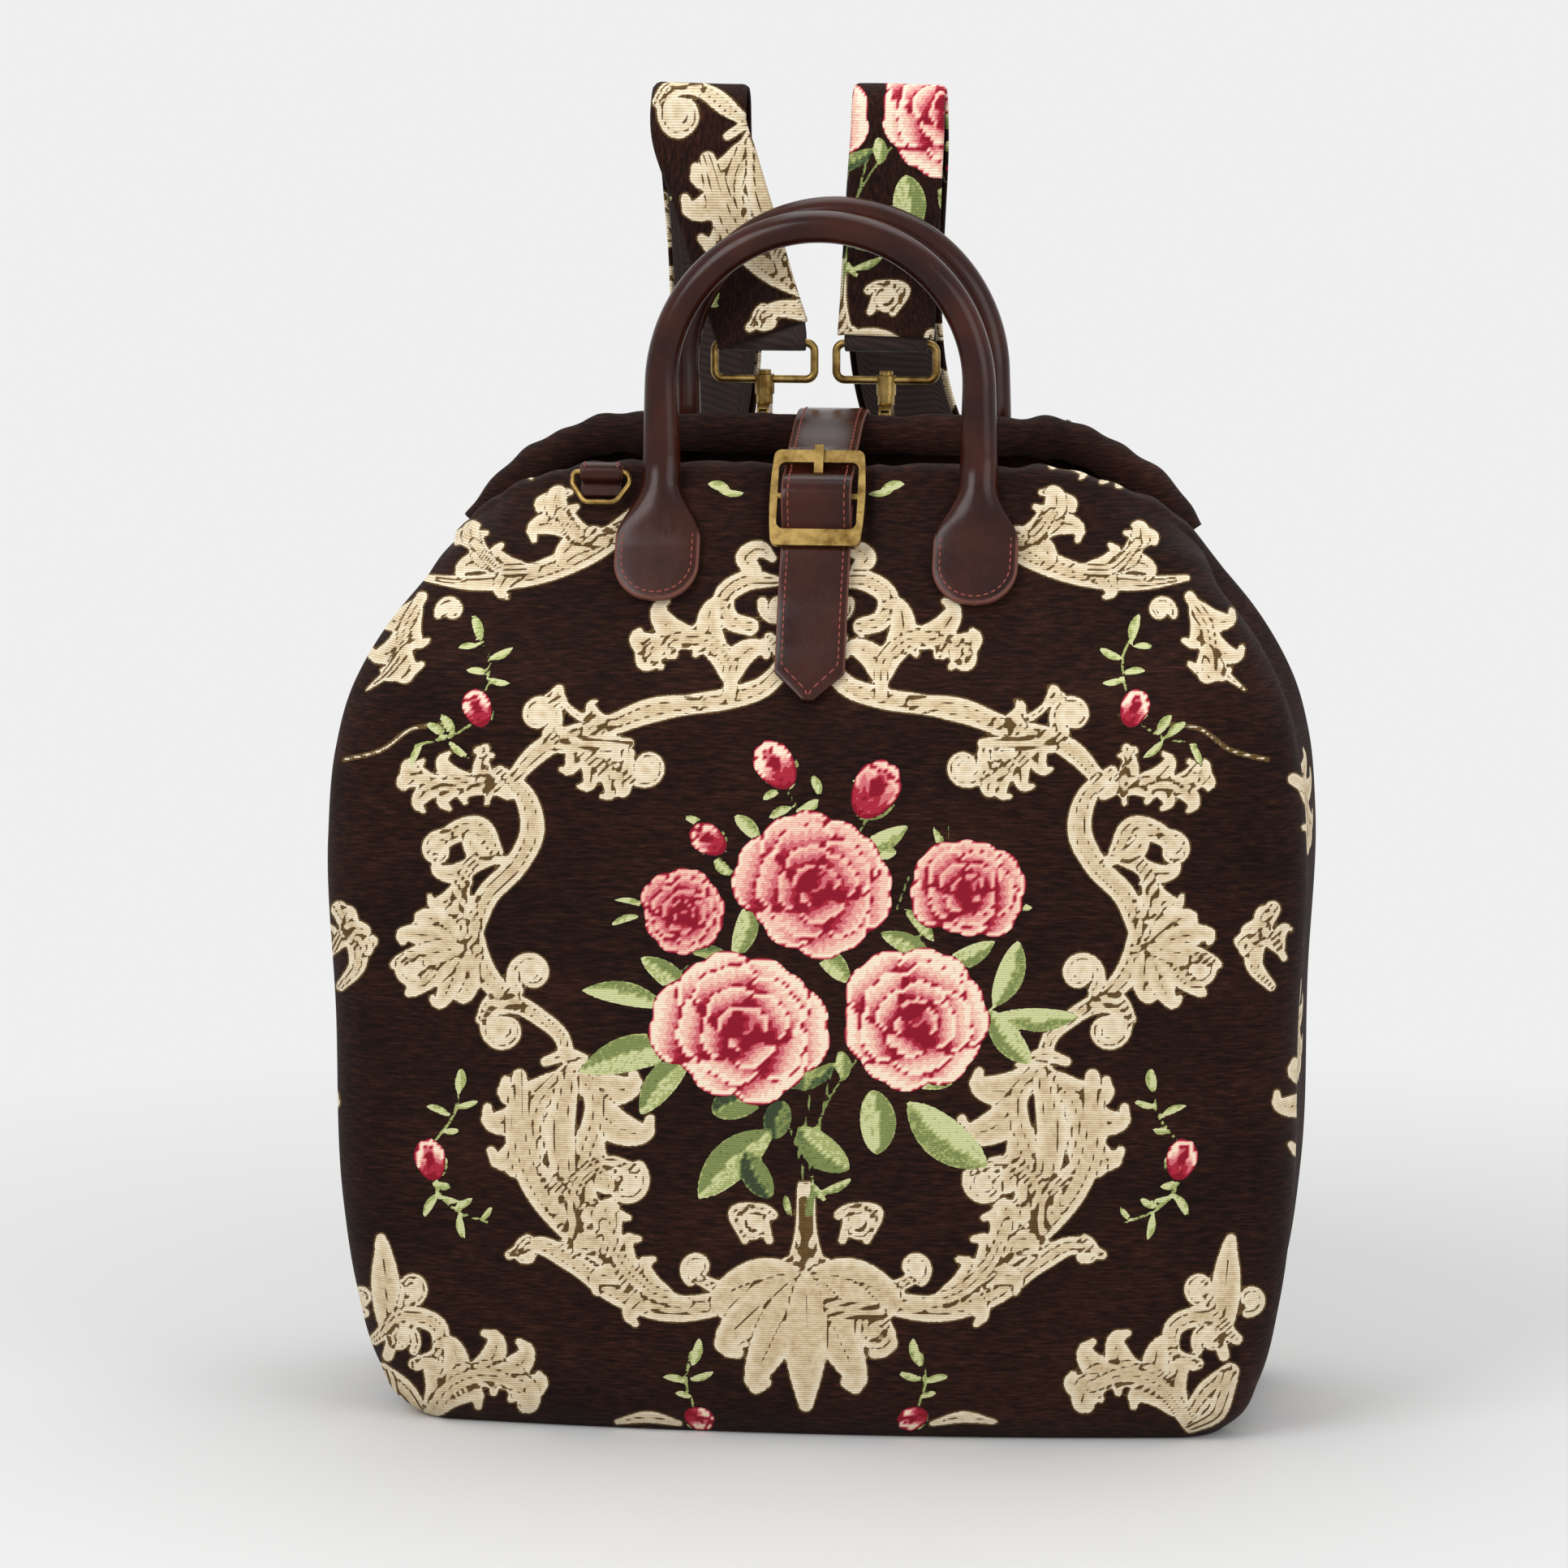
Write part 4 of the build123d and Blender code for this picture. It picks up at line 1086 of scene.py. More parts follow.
@dataclass(frozen=True)
class Finish:
    """What every finish has: a name, a roughness, a sheen and a coat."""

    name: str
    roughness: float = 0.8
    metallic: float = 0.0
    sheen: float = 0.0
    coat: float = 0.0
    specular: float = 0.5
    bump: float = 0.3
    depth: float = 0.0003

    def start(self) -> tuple[Graph, bpy.types.Node]:
        """Starts the material with its shader and the constant values.

        Returns:
            The material's graph and its shader.
        """
        material = bpy.data.materials.new(self.name)
        material.use_nodes = True
        graph = Graph(material.node_tree)
        shader = material.node_tree.nodes["Principled BSDF"]
        shader.inputs["Roughness"].default_value = self.roughness
        shader.inputs["Metallic"].default_value = self.metallic
        shader.inputs["Sheen Weight"].default_value = self.sheen
        shader.inputs["Sheen Roughness"].default_value = 0.45
        shader.inputs["Coat Weight"].default_value = self.coat
        shader.inputs["Coat Roughness"].default_value = 0.16
        shader.inputs["Specular IOR Level"].default_value = self.specular
        return graph, shader

    def use(self, graph: Graph, group: bpy.types.NodeTree) -> bpy.types.Node:
        """Places a shared effect in the material."""
        return graph.node("ShaderNodeGroup", node_tree=group)

    def raise_surface(self, graph: Graph, shader: bpy.types.Node, height: Socket) -> None:
        """Feeds a height to the shader's normal."""
        bump = graph.node("ShaderNodeBump")
        bump.inputs["Strength"].default_value = self.bump
        bump.inputs["Distance"].default_value = self.depth
        graph.feed(bump.inputs["Height"], height)
        graph.feed(shader.inputs["Normal"], bump.outputs[0])


@dataclass(frozen=True)
class BrocadeFinish(Finish):
    """Chenille brocade: piled ground with flat woven figures.

    Attributes:
        ribs: How often the pile's ribs come along each axis, per metre.
        threads: How often the figure's threads come along each axis, per metre.
        figured: Whether the piece carries the woven figures.
    """

    ribs: tuple[float, float, float] = (150, 150, 1050)
    threads: tuple[float, float, float] = (900, 900, 1150)
    figured: bool = True

    def build(self, groups: dict[str, bpy.types.NodeTree]) -> bpy.types.Material:
        """Makes the material."""
        g, shader = self.start()
        pile = self.use(g, groups["pile"])
        g.feed(pile.inputs["Ribs"], g.stretched(self.ribs))
        colour, height = pile.outputs["Color"], pile.outputs["Height"]
        if self.figured:
            figure = self.use(g, groups["figure"])
            for socket, name in (
                ("Cream", "cream"), ("Line", "line"), ("Green", "green"),
                ("GreenTone", "green_tone"), ("Rose", "rose"), ("RoseTone", "rose_tone"),
            ):
                g.feed(figure.inputs[socket], g.reading(name))
            g.feed(figure.inputs["Threads"], g.stretched(self.threads))
            colour = g.mix(figure.outputs["Fringe"], colour, figure.outputs["Color"])
            sunk = g.math("SUBTRACT", figure.outputs["Height"], 0.35)
            low = g.math("MULTIPLY", sunk, figure.outputs["Share"])
            bare = g.math("SUBTRACT", 1.0, figure.outputs["Share"])
            height = g.math("ADD", g.math("MULTIPLY", height, bare), low)
        geometry = g.node("ShaderNodeNewGeometry")
        colour = g.mix(geometry.outputs["Backfacing"], colour, srgb("3a281e"))
        g.feed(shader.inputs["Base Color"], colour)
        self.raise_surface(g, shader, height)
        return g.tree_material()


@dataclass(frozen=True)
class LeatherFinish(Finish):
    """Glazed dark leather.

    Attributes:
        dark: The colour in its hollows.
        light: The colour where it is rubbed.
    """

    dark: str = "1e0a06"
    light: str = "3a170d"

    def build(self, groups: dict[str, bpy.types.NodeTree]) -> bpy.types.Material:
        """Makes the material."""
        g, shader = self.start()
        grain = self.use(g, groups["grain"])
        colour = g.mix(g.ramp(grain.outputs["Drift"], 0.3, 0.7), srgb(self.dark), srgb(self.light))
        edge = g.reading("edge")
        colour = g.mix(g.math("MULTIPLY", edge, 0.85), colour, srgb("6b4238"))
        g.feed(shader.inputs["Base Color"], colour)
        rough = g.ramp(grain.outputs["Scuffs"], 0.3, 0.75, self.roughness - 0.07, self.roughness + 0.12)
        g.feed(shader.inputs["Roughness"], g.math("ADD", rough, g.math("MULTIPLY", edge, 0.3)))
        height = g.math("ADD", grain.outputs["Cells"], g.math("MULTIPLY", grain.outputs["Scuffs"], 0.5))
        self.raise_surface(g, shader, height)
        return g.tree_material()


@dataclass(frozen=True)
class MetalFinish(Finish):
    """Plated metal with a patina.

    Attributes:
        dark: The colour of the patina.
        light: The colour where it is rubbed bright.
    """

    dark: str = "6b5128"
    light: str = "a58a52"

    def build(self, groups: dict[str, bpy.types.NodeTree]) -> bpy.types.Material:
        """Makes the material."""
        g, shader = self.start()
        patina = self.use(g, groups["patina"])
        colour = g.mix(patina.outputs["Rubbed"], srgb(self.dark), srgb(self.light))
        g.feed(shader.inputs["Base Color"], colour)
        rough = g.ramp(patina.outputs["Specks"], 0.3, 0.7, self.roughness - 0.08, self.roughness + 0.12)
        g.feed(shader.inputs["Roughness"], rough)
        self.raise_surface(g, shader, patina.outputs["Specks"])
        return g.tree_material()


@dataclass(frozen=True)
class ClothFinish(Finish):
    """Webbing, lining and thread.

    Attributes:
        dark: The colour between the threads, a painted shade in the weave's hollows.
        light: The colour on them.
        across: Threads across the piece.
        along: Threads along it.
    """

    dark: str = "160b08"
    light: str = "33201a"
    across: float = 20
    along: float = 200

    def build(self, groups: dict[str, bpy.types.NodeTree]) -> bpy.types.Material:
        """Makes the material."""
        g, shader = self.start()
        weave = self.use(g, groups["weave"])
        weave.inputs["Across"].default_value = self.across
        weave.inputs["Along"].default_value = self.along
        # The colour darkens with the weave's height, which also feeds the bump: painted shade between the
        # threads, with random fuzz mixed in.
        lift = g.ramp(weave.outputs["Height"], -1.3, 1.3)
        share = g.math("ADD", g.math("MULTIPLY", lift, 0.6), g.math("MULTIPLY", weave.outputs["Fuzz"], 0.5))
        g.feed(shader.inputs["Base Color"], g.mix(share, srgb(self.dark), srgb(self.light)))
        self.raise_surface(g, shader, weave.outputs["Height"])
        return g.tree_material()


class Cloths(Enum):
    """The finishes of this bag."""

    BROCADE = "brocade"
    TAPESTRY = "strap_tapestry"
    CHENILLE = "plain_chenille"
    LEATHER = "glazed_leather"
    BRASS = "antique_brass"
    STEEL = "bow_steel"
    WEBBING = "twill_webbing"
    LINING = "lining_cloth"
    THREAD = "rust_thread"
    BOARD = "base_board"


def make_finishes() -> dict[Cloths, bpy.types.Material]:
    """Builds the shared effects once and every material from them."""
    groups = {
        "pile": pile_group(), "figure": figure_group(), "grain": grain_group(),
        "patina": patina_group(), "weave": weave_group(),
    }
    finishes = {
        Cloths.BROCADE: BrocadeFinish("brocade", 0.9, sheen=0.03, bump=0.9, depth=0.0009, specular=0.12),
        Cloths.TAPESTRY: BrocadeFinish(
            "strap_tapestry", 0.9, sheen=0.03, bump=0.9, depth=0.0009, specular=0.12,
            ribs=(1050, 1050, 120), threads=(1150, 1150, 900),
        ),
        Cloths.CHENILLE: BrocadeFinish(
            "plain_chenille", 0.9, sheen=0.03, bump=0.9, depth=0.0009, specular=0.12, figured=False
        ),
        Cloths.LEATHER: LeatherFinish(
            "glazed_leather", 0.19, coat=0.0, bump=0.06, depth=0.0002, specular=0.22
        ),
        Cloths.BRASS: MetalFinish("antique_brass", 0.34, metallic=1.0, bump=0.1, depth=0.0002),
        Cloths.STEEL: MetalFinish(
            "bow_steel", 0.3, metallic=1.0, bump=0.05, depth=0.0001, dark="8a8a88", light="c4c4c2"
        ),
        Cloths.WEBBING: ClothFinish("twill_webbing", 0.85, sheen=0.1, bump=0.5, depth=0.0004),
        Cloths.LINING: ClothFinish(
            "lining_cloth", 0.8, sheen=0.1, bump=0.2, depth=0.0002, dark="2b1c14", light="4a3427",
            across=500, along=500,
        ),
        Cloths.THREAD: ClothFinish(
            "rust_thread", 0.6, bump=0.2, depth=0.0001, dark="6e2c22", light="9c4a3a",
        ),
        Cloths.BOARD: ClothFinish("base_board", 0.7, bump=0.1, depth=0.0001, dark="1c1a18", light="2c2a27"),
    }
    return {kind: finish.build(groups) for kind, finish in finishes.items()}


# The bag's cloth


@dataclass
class BagForm:
    """The bag's outer form, in millimetres, read from a few level sections."""

    hinge: float = 342.0
    setback: float = 12.0
    crown: float = 12.0
    wrap: float = 11.4
    reach: float = 52.0
    heights: tuple[float, ...] = (0, 6, 22, 55, 90, 170, 240, 275, 300, 322, 342)
    halves: tuple[float, ...] = (164, 171, 179, 187, 191.5, 193.5, 196, 193, 186.5, 174.5, 158.5)
    fronts: tuple[float, ...] = (-70, -76, -82, -88, -91, -93, -92, -89.5, -82.8, -70.3, -58.8)
    backs: tuple[float, ...] = (71, 75, 78.5, 82, 83.5, 83.5, 78, 66, 52.6, 46.5, 41.2)
    corners: tuple[float, ...] = (20, 22, 24, 24, 24, 24, 24, 24, 23, 20, 15)
    tilts: dict[int, float] = field(default_factory=lambda: {-1: 45.0, 1: -4.0})
    slopes: dict[int, float] = field(default_factory=lambda: {-1: 29.7, 1: 15.0})
    body_share: float = 0.80
    hood_share: float = 0.93
    buckle_room: float = 3.4
    buckle_share: float = 0.115

    def section(self, side: int, u: Array, z: Array) -> Array:
        """A point of the body below the hinge.

        Args:
            side: -1 for the front half, 1 for the back.
            u: From the left seam, -1, to the right one, 1.
            z: Height.

        Returns:
            The points.
        """
        half = through(z, self.heights, self.halves)
        face = through(z, self.heights, self.fronts if side < 0 else self.backs)
        corner = through(z, self.heights, self.corners)
        flat = half - corner
        run = np.abs(u) * (flat + corner * math.pi / 2)
        turn = np.clip((run - flat) / corner, 0, math.pi / 2)
        x = np.minimum(run, flat) + corner * np.sin(turn)
        inward = self.crown * (np.minimum(run, flat) / half) ** 2 + corner * (1 - np.cos(turn))
        return np.stack([np.sign(u) * x, face - side * inward, z], 1)

    def bow(self, side: int, t: Array) -> tuple[Array, Array]:
        """The bow that the mouth's cloth is wrapped over.

        Args:
            side: -1 for the front bow, 1 for the back one.
            t: From its left end, -1, to its right end, 1.

        Returns:
            The points of its middle and its direction there.
        """
        line = spline(
            [(-143, 14), (-137, 23), (-116, 41), (-96, 50.5), (-70, 52), (0, 52), (70, 52),
             (96, 50.5), (116, 41), (137, 23), (143, 14)], 81,
        )
        tilt = math.radians(self.tilts[side])
        up = np.array([0, -math.sin(tilt), math.cos(tilt)])
        points = np.stack([line[:, 0], line[:, 1] * up[1] + self.setback,
                           line[:, 1] * up[2] + self.hinge], 1)
        along = np.gradient(points, axis=0)
        along /= np.linalg.norm(along, axis=1)[:, None]
        where = (np.clip(t, -1, 1) + 1) * 40
        index = np.arange(81)
        read = [np.stack([np.interp(where, index, rows[:, k]) for k in range(3)], 1)
                for rows in (points, along)]
        return read[0], read[1]

    def shell(self, side: int, u: Array, q: Array) -> Array:
        """A point of the front or back cloth, from the base up and over its bow.

        Args:
            side: -1 for the front, 1 for the back.
            u: From the left seam, -1, to the right one, 1.
            q: From the base, 0, over the bow and inside, 1.

        Returns:
            The points.
        """
        low = np.clip(q / self.body_share, 0, 1)
        lower = self.section(side, u, low * self.hinge)
        middle, along = self.bow(side, u)
        slope = math.radians(self.slopes[side])
        normal = np.array([0, side * math.cos(slope), math.sin(slope)])
        first = normal - along * (along @ normal)[:, None]
        first /= np.linalg.norm(first, axis=1)[:, None]
        second = np.cross(along, first) * (-side)
        second *= np.sign(second[:, 2:3] + 1e-9)
        ends = second * 0 + np.stack([np.sign(u), 0 * u, 0 * u], 1)
        second = np.where((np.abs(u) > 0.75)[:, None] & ((second * ends).sum(1) < 0)[:, None],
                          -second, second)
        calm = ease((np.abs(u) - 0.12) / 0.08)
        wrap = self.wrap * (1 + calm * (0.03 * np.sin(u * 61) + 0.04 * np.sin(u * 23 + 1)))
        under = (side < 0) * (1 - ease((np.abs(u) - self.buckle_share) / 0.03))
        wrap = wrap - self.buckle_room * under
        rise = np.clip((q - self.body_share) / (self.hood_share - self.body_share), 0, 1)
        start = middle + first * wrap[:, None]
        hood = lower * (1 - rise)[:, None] + start * rise[:, None]
        swell = np.sin(math.pi * rise) * 2.2 * (np.abs(u) > 0.5) * ease((np.abs(u) - 0.5) / 0.3)
        hood += normal * swell[:, None]
        spent = np.clip((q - self.hood_share) / (1 - self.hood_share), 0, 1)
        angle = spent * math.radians(215)
        roll = wrap - 2.6 * (1 - under) * ease(angle / 0.9)
        round_bow = middle + roll[:, None] * (
            first * np.cos(angle)[:, None] + second * np.sin(angle)[:, None]
        )
        point = np.where((q > self.hood_share)[:, None], round_bow, hood)
        return np.where((q <= self.body_share)[:, None], lower, point)

    def softened(self, side: int, u: Array, q: Array) -> Array:
        """The shell with the folds, puckers and slack of real cloth."""
        point = self.shell(side, u, q)
        step = 0.004
        du = self.shell(side, np.clip(u + step, -1, 1), q) - self.shell(side, np.clip(u - step, -1, 1), q)
        dq = self.shell(side, u, np.clip(q + step, 0, 1)) - self.shell(side, u, np.clip(q - step, 0, 1))
        normal = np.cross(du, dq) * (-side)
        normal /= np.linalg.norm(normal, axis=1)[:, None] + 1e-9
        fade = ease((1 - np.abs(u)) / 0.10) * ease(q / 0.05)
        slack = 1.3 * ripple(u * 1.3 + side, q * 1.8, 7) * ease((self.hood_share - q) / 0.1)
        gather = ease((q - 0.70) / 0.20) * (0.55 + 0.25 * ripple(u * 2, q, 3))
        pucker = gather * (0.5 * np.sin(u * 43 + 3 * q) + 0.35 * np.sin(u * 71 + 1.7 + 5 * q))
        pucker *= ease((1.02 - np.abs(u)) / 0.2) * ease((np.abs(u) - 0.12) / 0.08)
        shoulder = ease((q - 0.60) / 0.12) * ease((0.90 - q) / 0.08) * ease((np.abs(u) - 0.45) / 0.2)
        crease = 1.5 * shoulder * np.sin((q * 34 - np.abs(u) * 9) * 1.5)
        return point + normal * ((slack + crease) * fade + pucker * fade)[:, None]


@dataclass
class BagCloth:
    """The brocade outside of the bag: front, back, sides and base."""

    form: BagForm
    finishes: dict[Cloths, bpy.types.Material]
    view: "PhotoView"
    front_columns: int = 290
    front_rows: int = 312
    back_columns: int = 220
    back_rows: int = 240
    cloth: float = 1.6

    def build(self) -> None:
        """Builds and dresses every piece of the outside."""
        self.front()
        self.back()
        for turn in (-1, 1):
            self.gusset(turn)
        self.base()

    def front(self) -> None:
        """The front cloth with the woven design, up and over the front bow."""
        bm = grid_mesh(
            self.front_columns, self.front_rows,
            lambda u, v: self.form.softened(-1, 2 * u - 1, v),
        )
        piece = link_mesh("front_cloth", bm)
        points = mesh_points(piece)
        x, y = self.view.picture(points)
        keep_weave(piece, weave_design(x, y))
        piece.data.materials.append(self.finishes[Cloths.BROCADE])
        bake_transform(piece)
        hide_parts("front_panel", "front_frame_sleeve")

    def back(self) -> None:
        """The back cloth, with the same cloth's design set lower."""
        bm = grid_mesh(
            self.back_columns, self.back_rows,
            lambda u, v: self.form.softened(1, 1 - 2 * u, v),
        )
        piece = link_mesh("back_cloth", bm)
        points = mesh_points(piece)
        across = DESIGN_MIDDLE - points[:, 0] / UNIT_ACROSS
        keep_weave(piece, weave_design(across, 1700 - points[:, 2] / UNIT_UP))
        piece.data.materials.append(self.finishes[Cloths.BROCADE])
        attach(piece, "bag")
        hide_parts("back_panel", "back_frame_sleeve")

    def gusset(self, turn: int) -> None:
        """A side of the bag, between the front's seam and the back's."""
        name = "left_side_cloth" if turn < 0 else "right_side_cloth"
        top = self.form.hood_share

        def place(u: Array, v: Array) -> Array:
            """A point across the side and up it."""
            edge = np.full_like(u, float(turn))
            near = self.form.shell(-1, edge, v * top)
            far = self.form.shell(1, edge, v * top)
            share = u if turn > 0 else 1 - u
            point = near * (1 - share)[:, None] + far * share[:, None]
            fold = np.sin(math.pi * share) ** 1.5
            inward = fold * (3 + 9 * ease((v - 0.55) / 0.35)) * ease((1.05 - v) / 0.2)
            slack = 1.2 * ripple(share, v * 2.2, 11 + turn) * fold
            point[:, 0] -= turn * (inward + slack)
            return point

        piece = link_mesh(name, grid_mesh(90, 230, place))
        points = mesh_points(piece)
        across = DESIGN_MIDDLE + turn * (600 + points[:, 1] / UNIT_ACROSS)
        keep_weave(piece, weave_design(across, 1500 - points[:, 2] / UNIT_UP))
        piece.data.materials.append(self.finishes[Cloths.BROCADE])
        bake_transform(piece)
        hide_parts("left_gusset" if turn < 0 else "right_gusset")

    def base(self) -> None:
        """The flat base, with its soft edge."""
        def place(u: Array, v: Array) -> Array:
            """A point of the base, from its middle line out to both seams."""
            front = self.form.section(-1, 2 * u - 1, np.zeros_like(u))
            back = self.form.section(1, 2 * u - 1, np.zeros_like(u))
            return front * (1 - v)[:, None] + back * v[:, None]

        piece = link_mesh("base_cloth", grid_mesh(80, 40, place))
        thick = piece.modifiers.new("thickness", "SOLIDIFY")
        thick.thickness = 0.002
        thick.offset = 1
        piece.data.materials.append(self.finishes[Cloths.CHENILLE])
        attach(piece, "bag")
        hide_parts("base_panel")


@dataclass
class PhotoView:
    """The camera's place, and where a point falls in its square picture."""

    azimuth: float = 6.0
    elevation: float = 9.3
    distance: float = 3000.0
    scale: float = 0.3345
    shift_x: float = -18.3
    shift_z: float = 250.3

    def axes(self) -> tuple[Array, Array, Array]:
        """The picture's right, its up and the way back to the camera."""
        a, e = math.radians(self.azimuth), math.radians(self.elevation)
        right = np.array([math.cos(a), math.sin(a), 0])
        back = np.array([math.sin(a) * math.cos(e), -math.cos(a) * math.cos(e), math.sin(e)])
        return right, np.cross(back, right), back

    def picture(self, points: Array) -> tuple[Array, Array]:
        """Where points fall in the square picture.

        Args:
            points: Points in millimetres.

        Returns:
            Place across from the left and place down from the top.
        """
        right, up, back = self.axes()
        near = self.distance / (self.distance - points @ back)
        across = (points @ right - self.shift_x) * near
        rise = (points @ up - self.shift_z) * near
        return PHOTO_SIDE / 2 + across / self.scale, PHOTO_SIDE / 2 - rise / self.scale

    def place_camera(self) -> None:
        """Sets the camera up."""
        right, up, back = self.axes()
        data = bpy.data.cameras.new("camera")
        data.sensor_width = 36
        data.lens = 36 * self.distance / (self.scale * PHOTO_SIDE)
        data.clip_start = 0.05
        camera = bpy.data.objects.new("camera", data)
        bpy.context.scene.collection.objects.link(camera)
        target = right * self.shift_x + up * self.shift_z
        place = (target + back * self.distance) * MM
        turn = Matrix((right, up, back)).transposed().to_4x4()
        camera.matrix_world = Matrix.Translation(Vector(place)) @ turn
        bpy.context.scene.camera = camera


@dataclass
class Studio:
    """The pale floor, the soft lights and the pale surround."""

    surround: float = 0.865
    ambient: float = 0.72

    def build(self) -> None:
        """Builds the floor, the lights and the surround."""
        self.floor()
        self.world()
        for name, place, size, power in (
            ("key_light", (-0.9, -1.3, 1.35), 1.0, 17.0),
            ("fill_light", (1.3, -1.1, 0.75), 1.1, 9.0),
            ("top_light", (0.1, 0.4, 1.7), 1.2, 9.0),
        ):
            self.lamp(name, Vector(place), size, power)

    def lamp(self, name: str, place: Vector, size: float, power: float) -> None:
        """A square soft light that faces the bag's middle."""
        data = bpy.data.lights.new(name, "AREA")
        data.energy = power
        data.size = size
        lamp = bpy.data.objects.new(name, data)
        aim = Vector((0, 0, 0.25)) - place
        lamp.matrix_world = Matrix.Translation(place) @ aim.to_track_quat("-Z", "Y").to_matrix().to_4x4()
        bpy.context.scene.collection.objects.link(lamp)

    def floor(self) -> None:
        """A wide floor that fades into the surround."""
        bm = bmesh.new()
        bmesh.ops.create_grid(bm, x_segments=8, y_segments=8, size=4)
        piece = link_mesh("floor", bm, smooth=False)
        for vert in piece.data.vertices:
            vert.co.z = -0.0005
        material = bpy.data.materials.new("floor")
        material.use_nodes = True
        g = Graph(material.node_tree)
        shader = material.node_tree.nodes["Principled BSDF"]
        output = material.node_tree.nodes["Material Output"]
        shader.inputs["Base Color"].default_value = (0.67, 0.67, 0.67, 1)
        shader.inputs["Roughness"].default_value = 0.9
        shader.inputs["Specular IOR Level"].default_value = 0.1
        coordinates = g.node("ShaderNodeTexCoord")
        length = g.node("ShaderNodeVectorMath", operation="LENGTH")
        g.feed(length.inputs[0], coordinates.outputs["Object"])
        fade = g.ramp(length.outputs["Value"], 0.35, 0.75)
        clear = g.node("ShaderNodeBsdfTransparent")
        blend = g.node("ShaderNodeMixShader")
        g.feed(blend.inputs[0], fade)
        g.feed(blend.inputs[1], shader.outputs[0])
        g.feed(blend.inputs[2], clear.outputs[0])
        g.feed(output.inputs[0], blend.outputs[0])
        piece.data.materials.append(material)
        piece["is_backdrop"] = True

    def world(self) -> None:
        """Soft light from all round, and a pale surround for the camera and for gloss."""
        world = bpy.data.worlds.new("studio")
        world.use_nodes = True
        bpy.context.scene.world = world
        g = Graph(world.node_tree)
        back = world.node_tree.nodes["Background"]
        path = g.node("ShaderNodeLightPath")
        seen = g.math("MAXIMUM", path.outputs["Is Camera Ray"], path.outputs["Is Glossy Ray"])
        seen = g.math("MAXIMUM", seen, path.outputs["Is Transmission Ray"])
        grey, dim = self.surround, self.ambient
        g.feed(back.inputs["Color"], g.mix(seen, (dim, dim, dim, 1), (grey, grey, grey, 1)))
        back.inputs["Strength"].default_value = 1.0


# Leather


@dataclass
class FaceLine:
    """The front or back face near the mouth, in the side view."""

    side: int
    y: float
    z: float
    slope: float

    def at(self, drop: float, stand: float) -> tuple[float, float]:
        """The side-view point at a drop down the face and a stand-off from it."""
        lean = math.radians(self.slope)
        y = self.y + drop * self.side * math.sin(lean) + stand * self.side * math.cos(lean)
        return y, self.z - drop * math.cos(lean) + stand * math.sin(lean)

    def spot(self, x: float, drop: float, stand: float) -> tuple[float, float, float]:
        """The same point with its place across the bag."""
        return (x, *self.at(drop, stand))


FRONT = FaceLine(-1, -34.6, 384.4, 29.7)
BACK = FaceLine(1, 26.5, 396.8, 15.0)


@dataclass
class Stitches:
    """A row of thread stitches along a line that lies on a face."""

    face: FaceLine
    pitch: float = 3.1
    length: float = 2.3
    radius: float = 0.34

    def sew(self, bm: bmesh.types.BMesh, points: Sequence[Sequence[float]], stand: float) -> None:
        """Adds one stitch at each pitch.

        Args:
            bm: The mesh that takes the stitches.
            points: The line's points, as place across and drop down the face.
            stand: How far out of the face the thread lies.
        """
        p = np.asarray(points, float)
        steps = np.r_[0, np.cumsum(np.linalg.norm(np.diff(p, axis=0), axis=1))]
        count = int(steps[-1] / self.pitch)
        for k in range(count):
            ends = []
            for s in (k * self.pitch, k * self.pitch + self.length):
                ends.append(Vector(self.face.spot(np.interp(s, steps, p[:, 0]),
                                                  np.interp(s, steps, p[:, 1]), stand)) * MM)
            self.one(bm, ends[0], ends[1])

    def one(self, bm: bmesh.types.BMesh, start: Vector, end: Vector) -> None:
        """Adds a single stitch between two points."""
        run = end - start
        turn = run.to_track_quat("Z", "Y").to_matrix().to_4x4()
        shape = Matrix.Diagonal((self.radius * MM, self.radius * MM, run.length / 2, 1))
        bmesh.ops.create_uvsphere(
            bm, u_segments=6, v_segments=5, radius=1.0,
            matrix=Matrix.Translation((start + end) / 2) @ turn @ shape,
        )


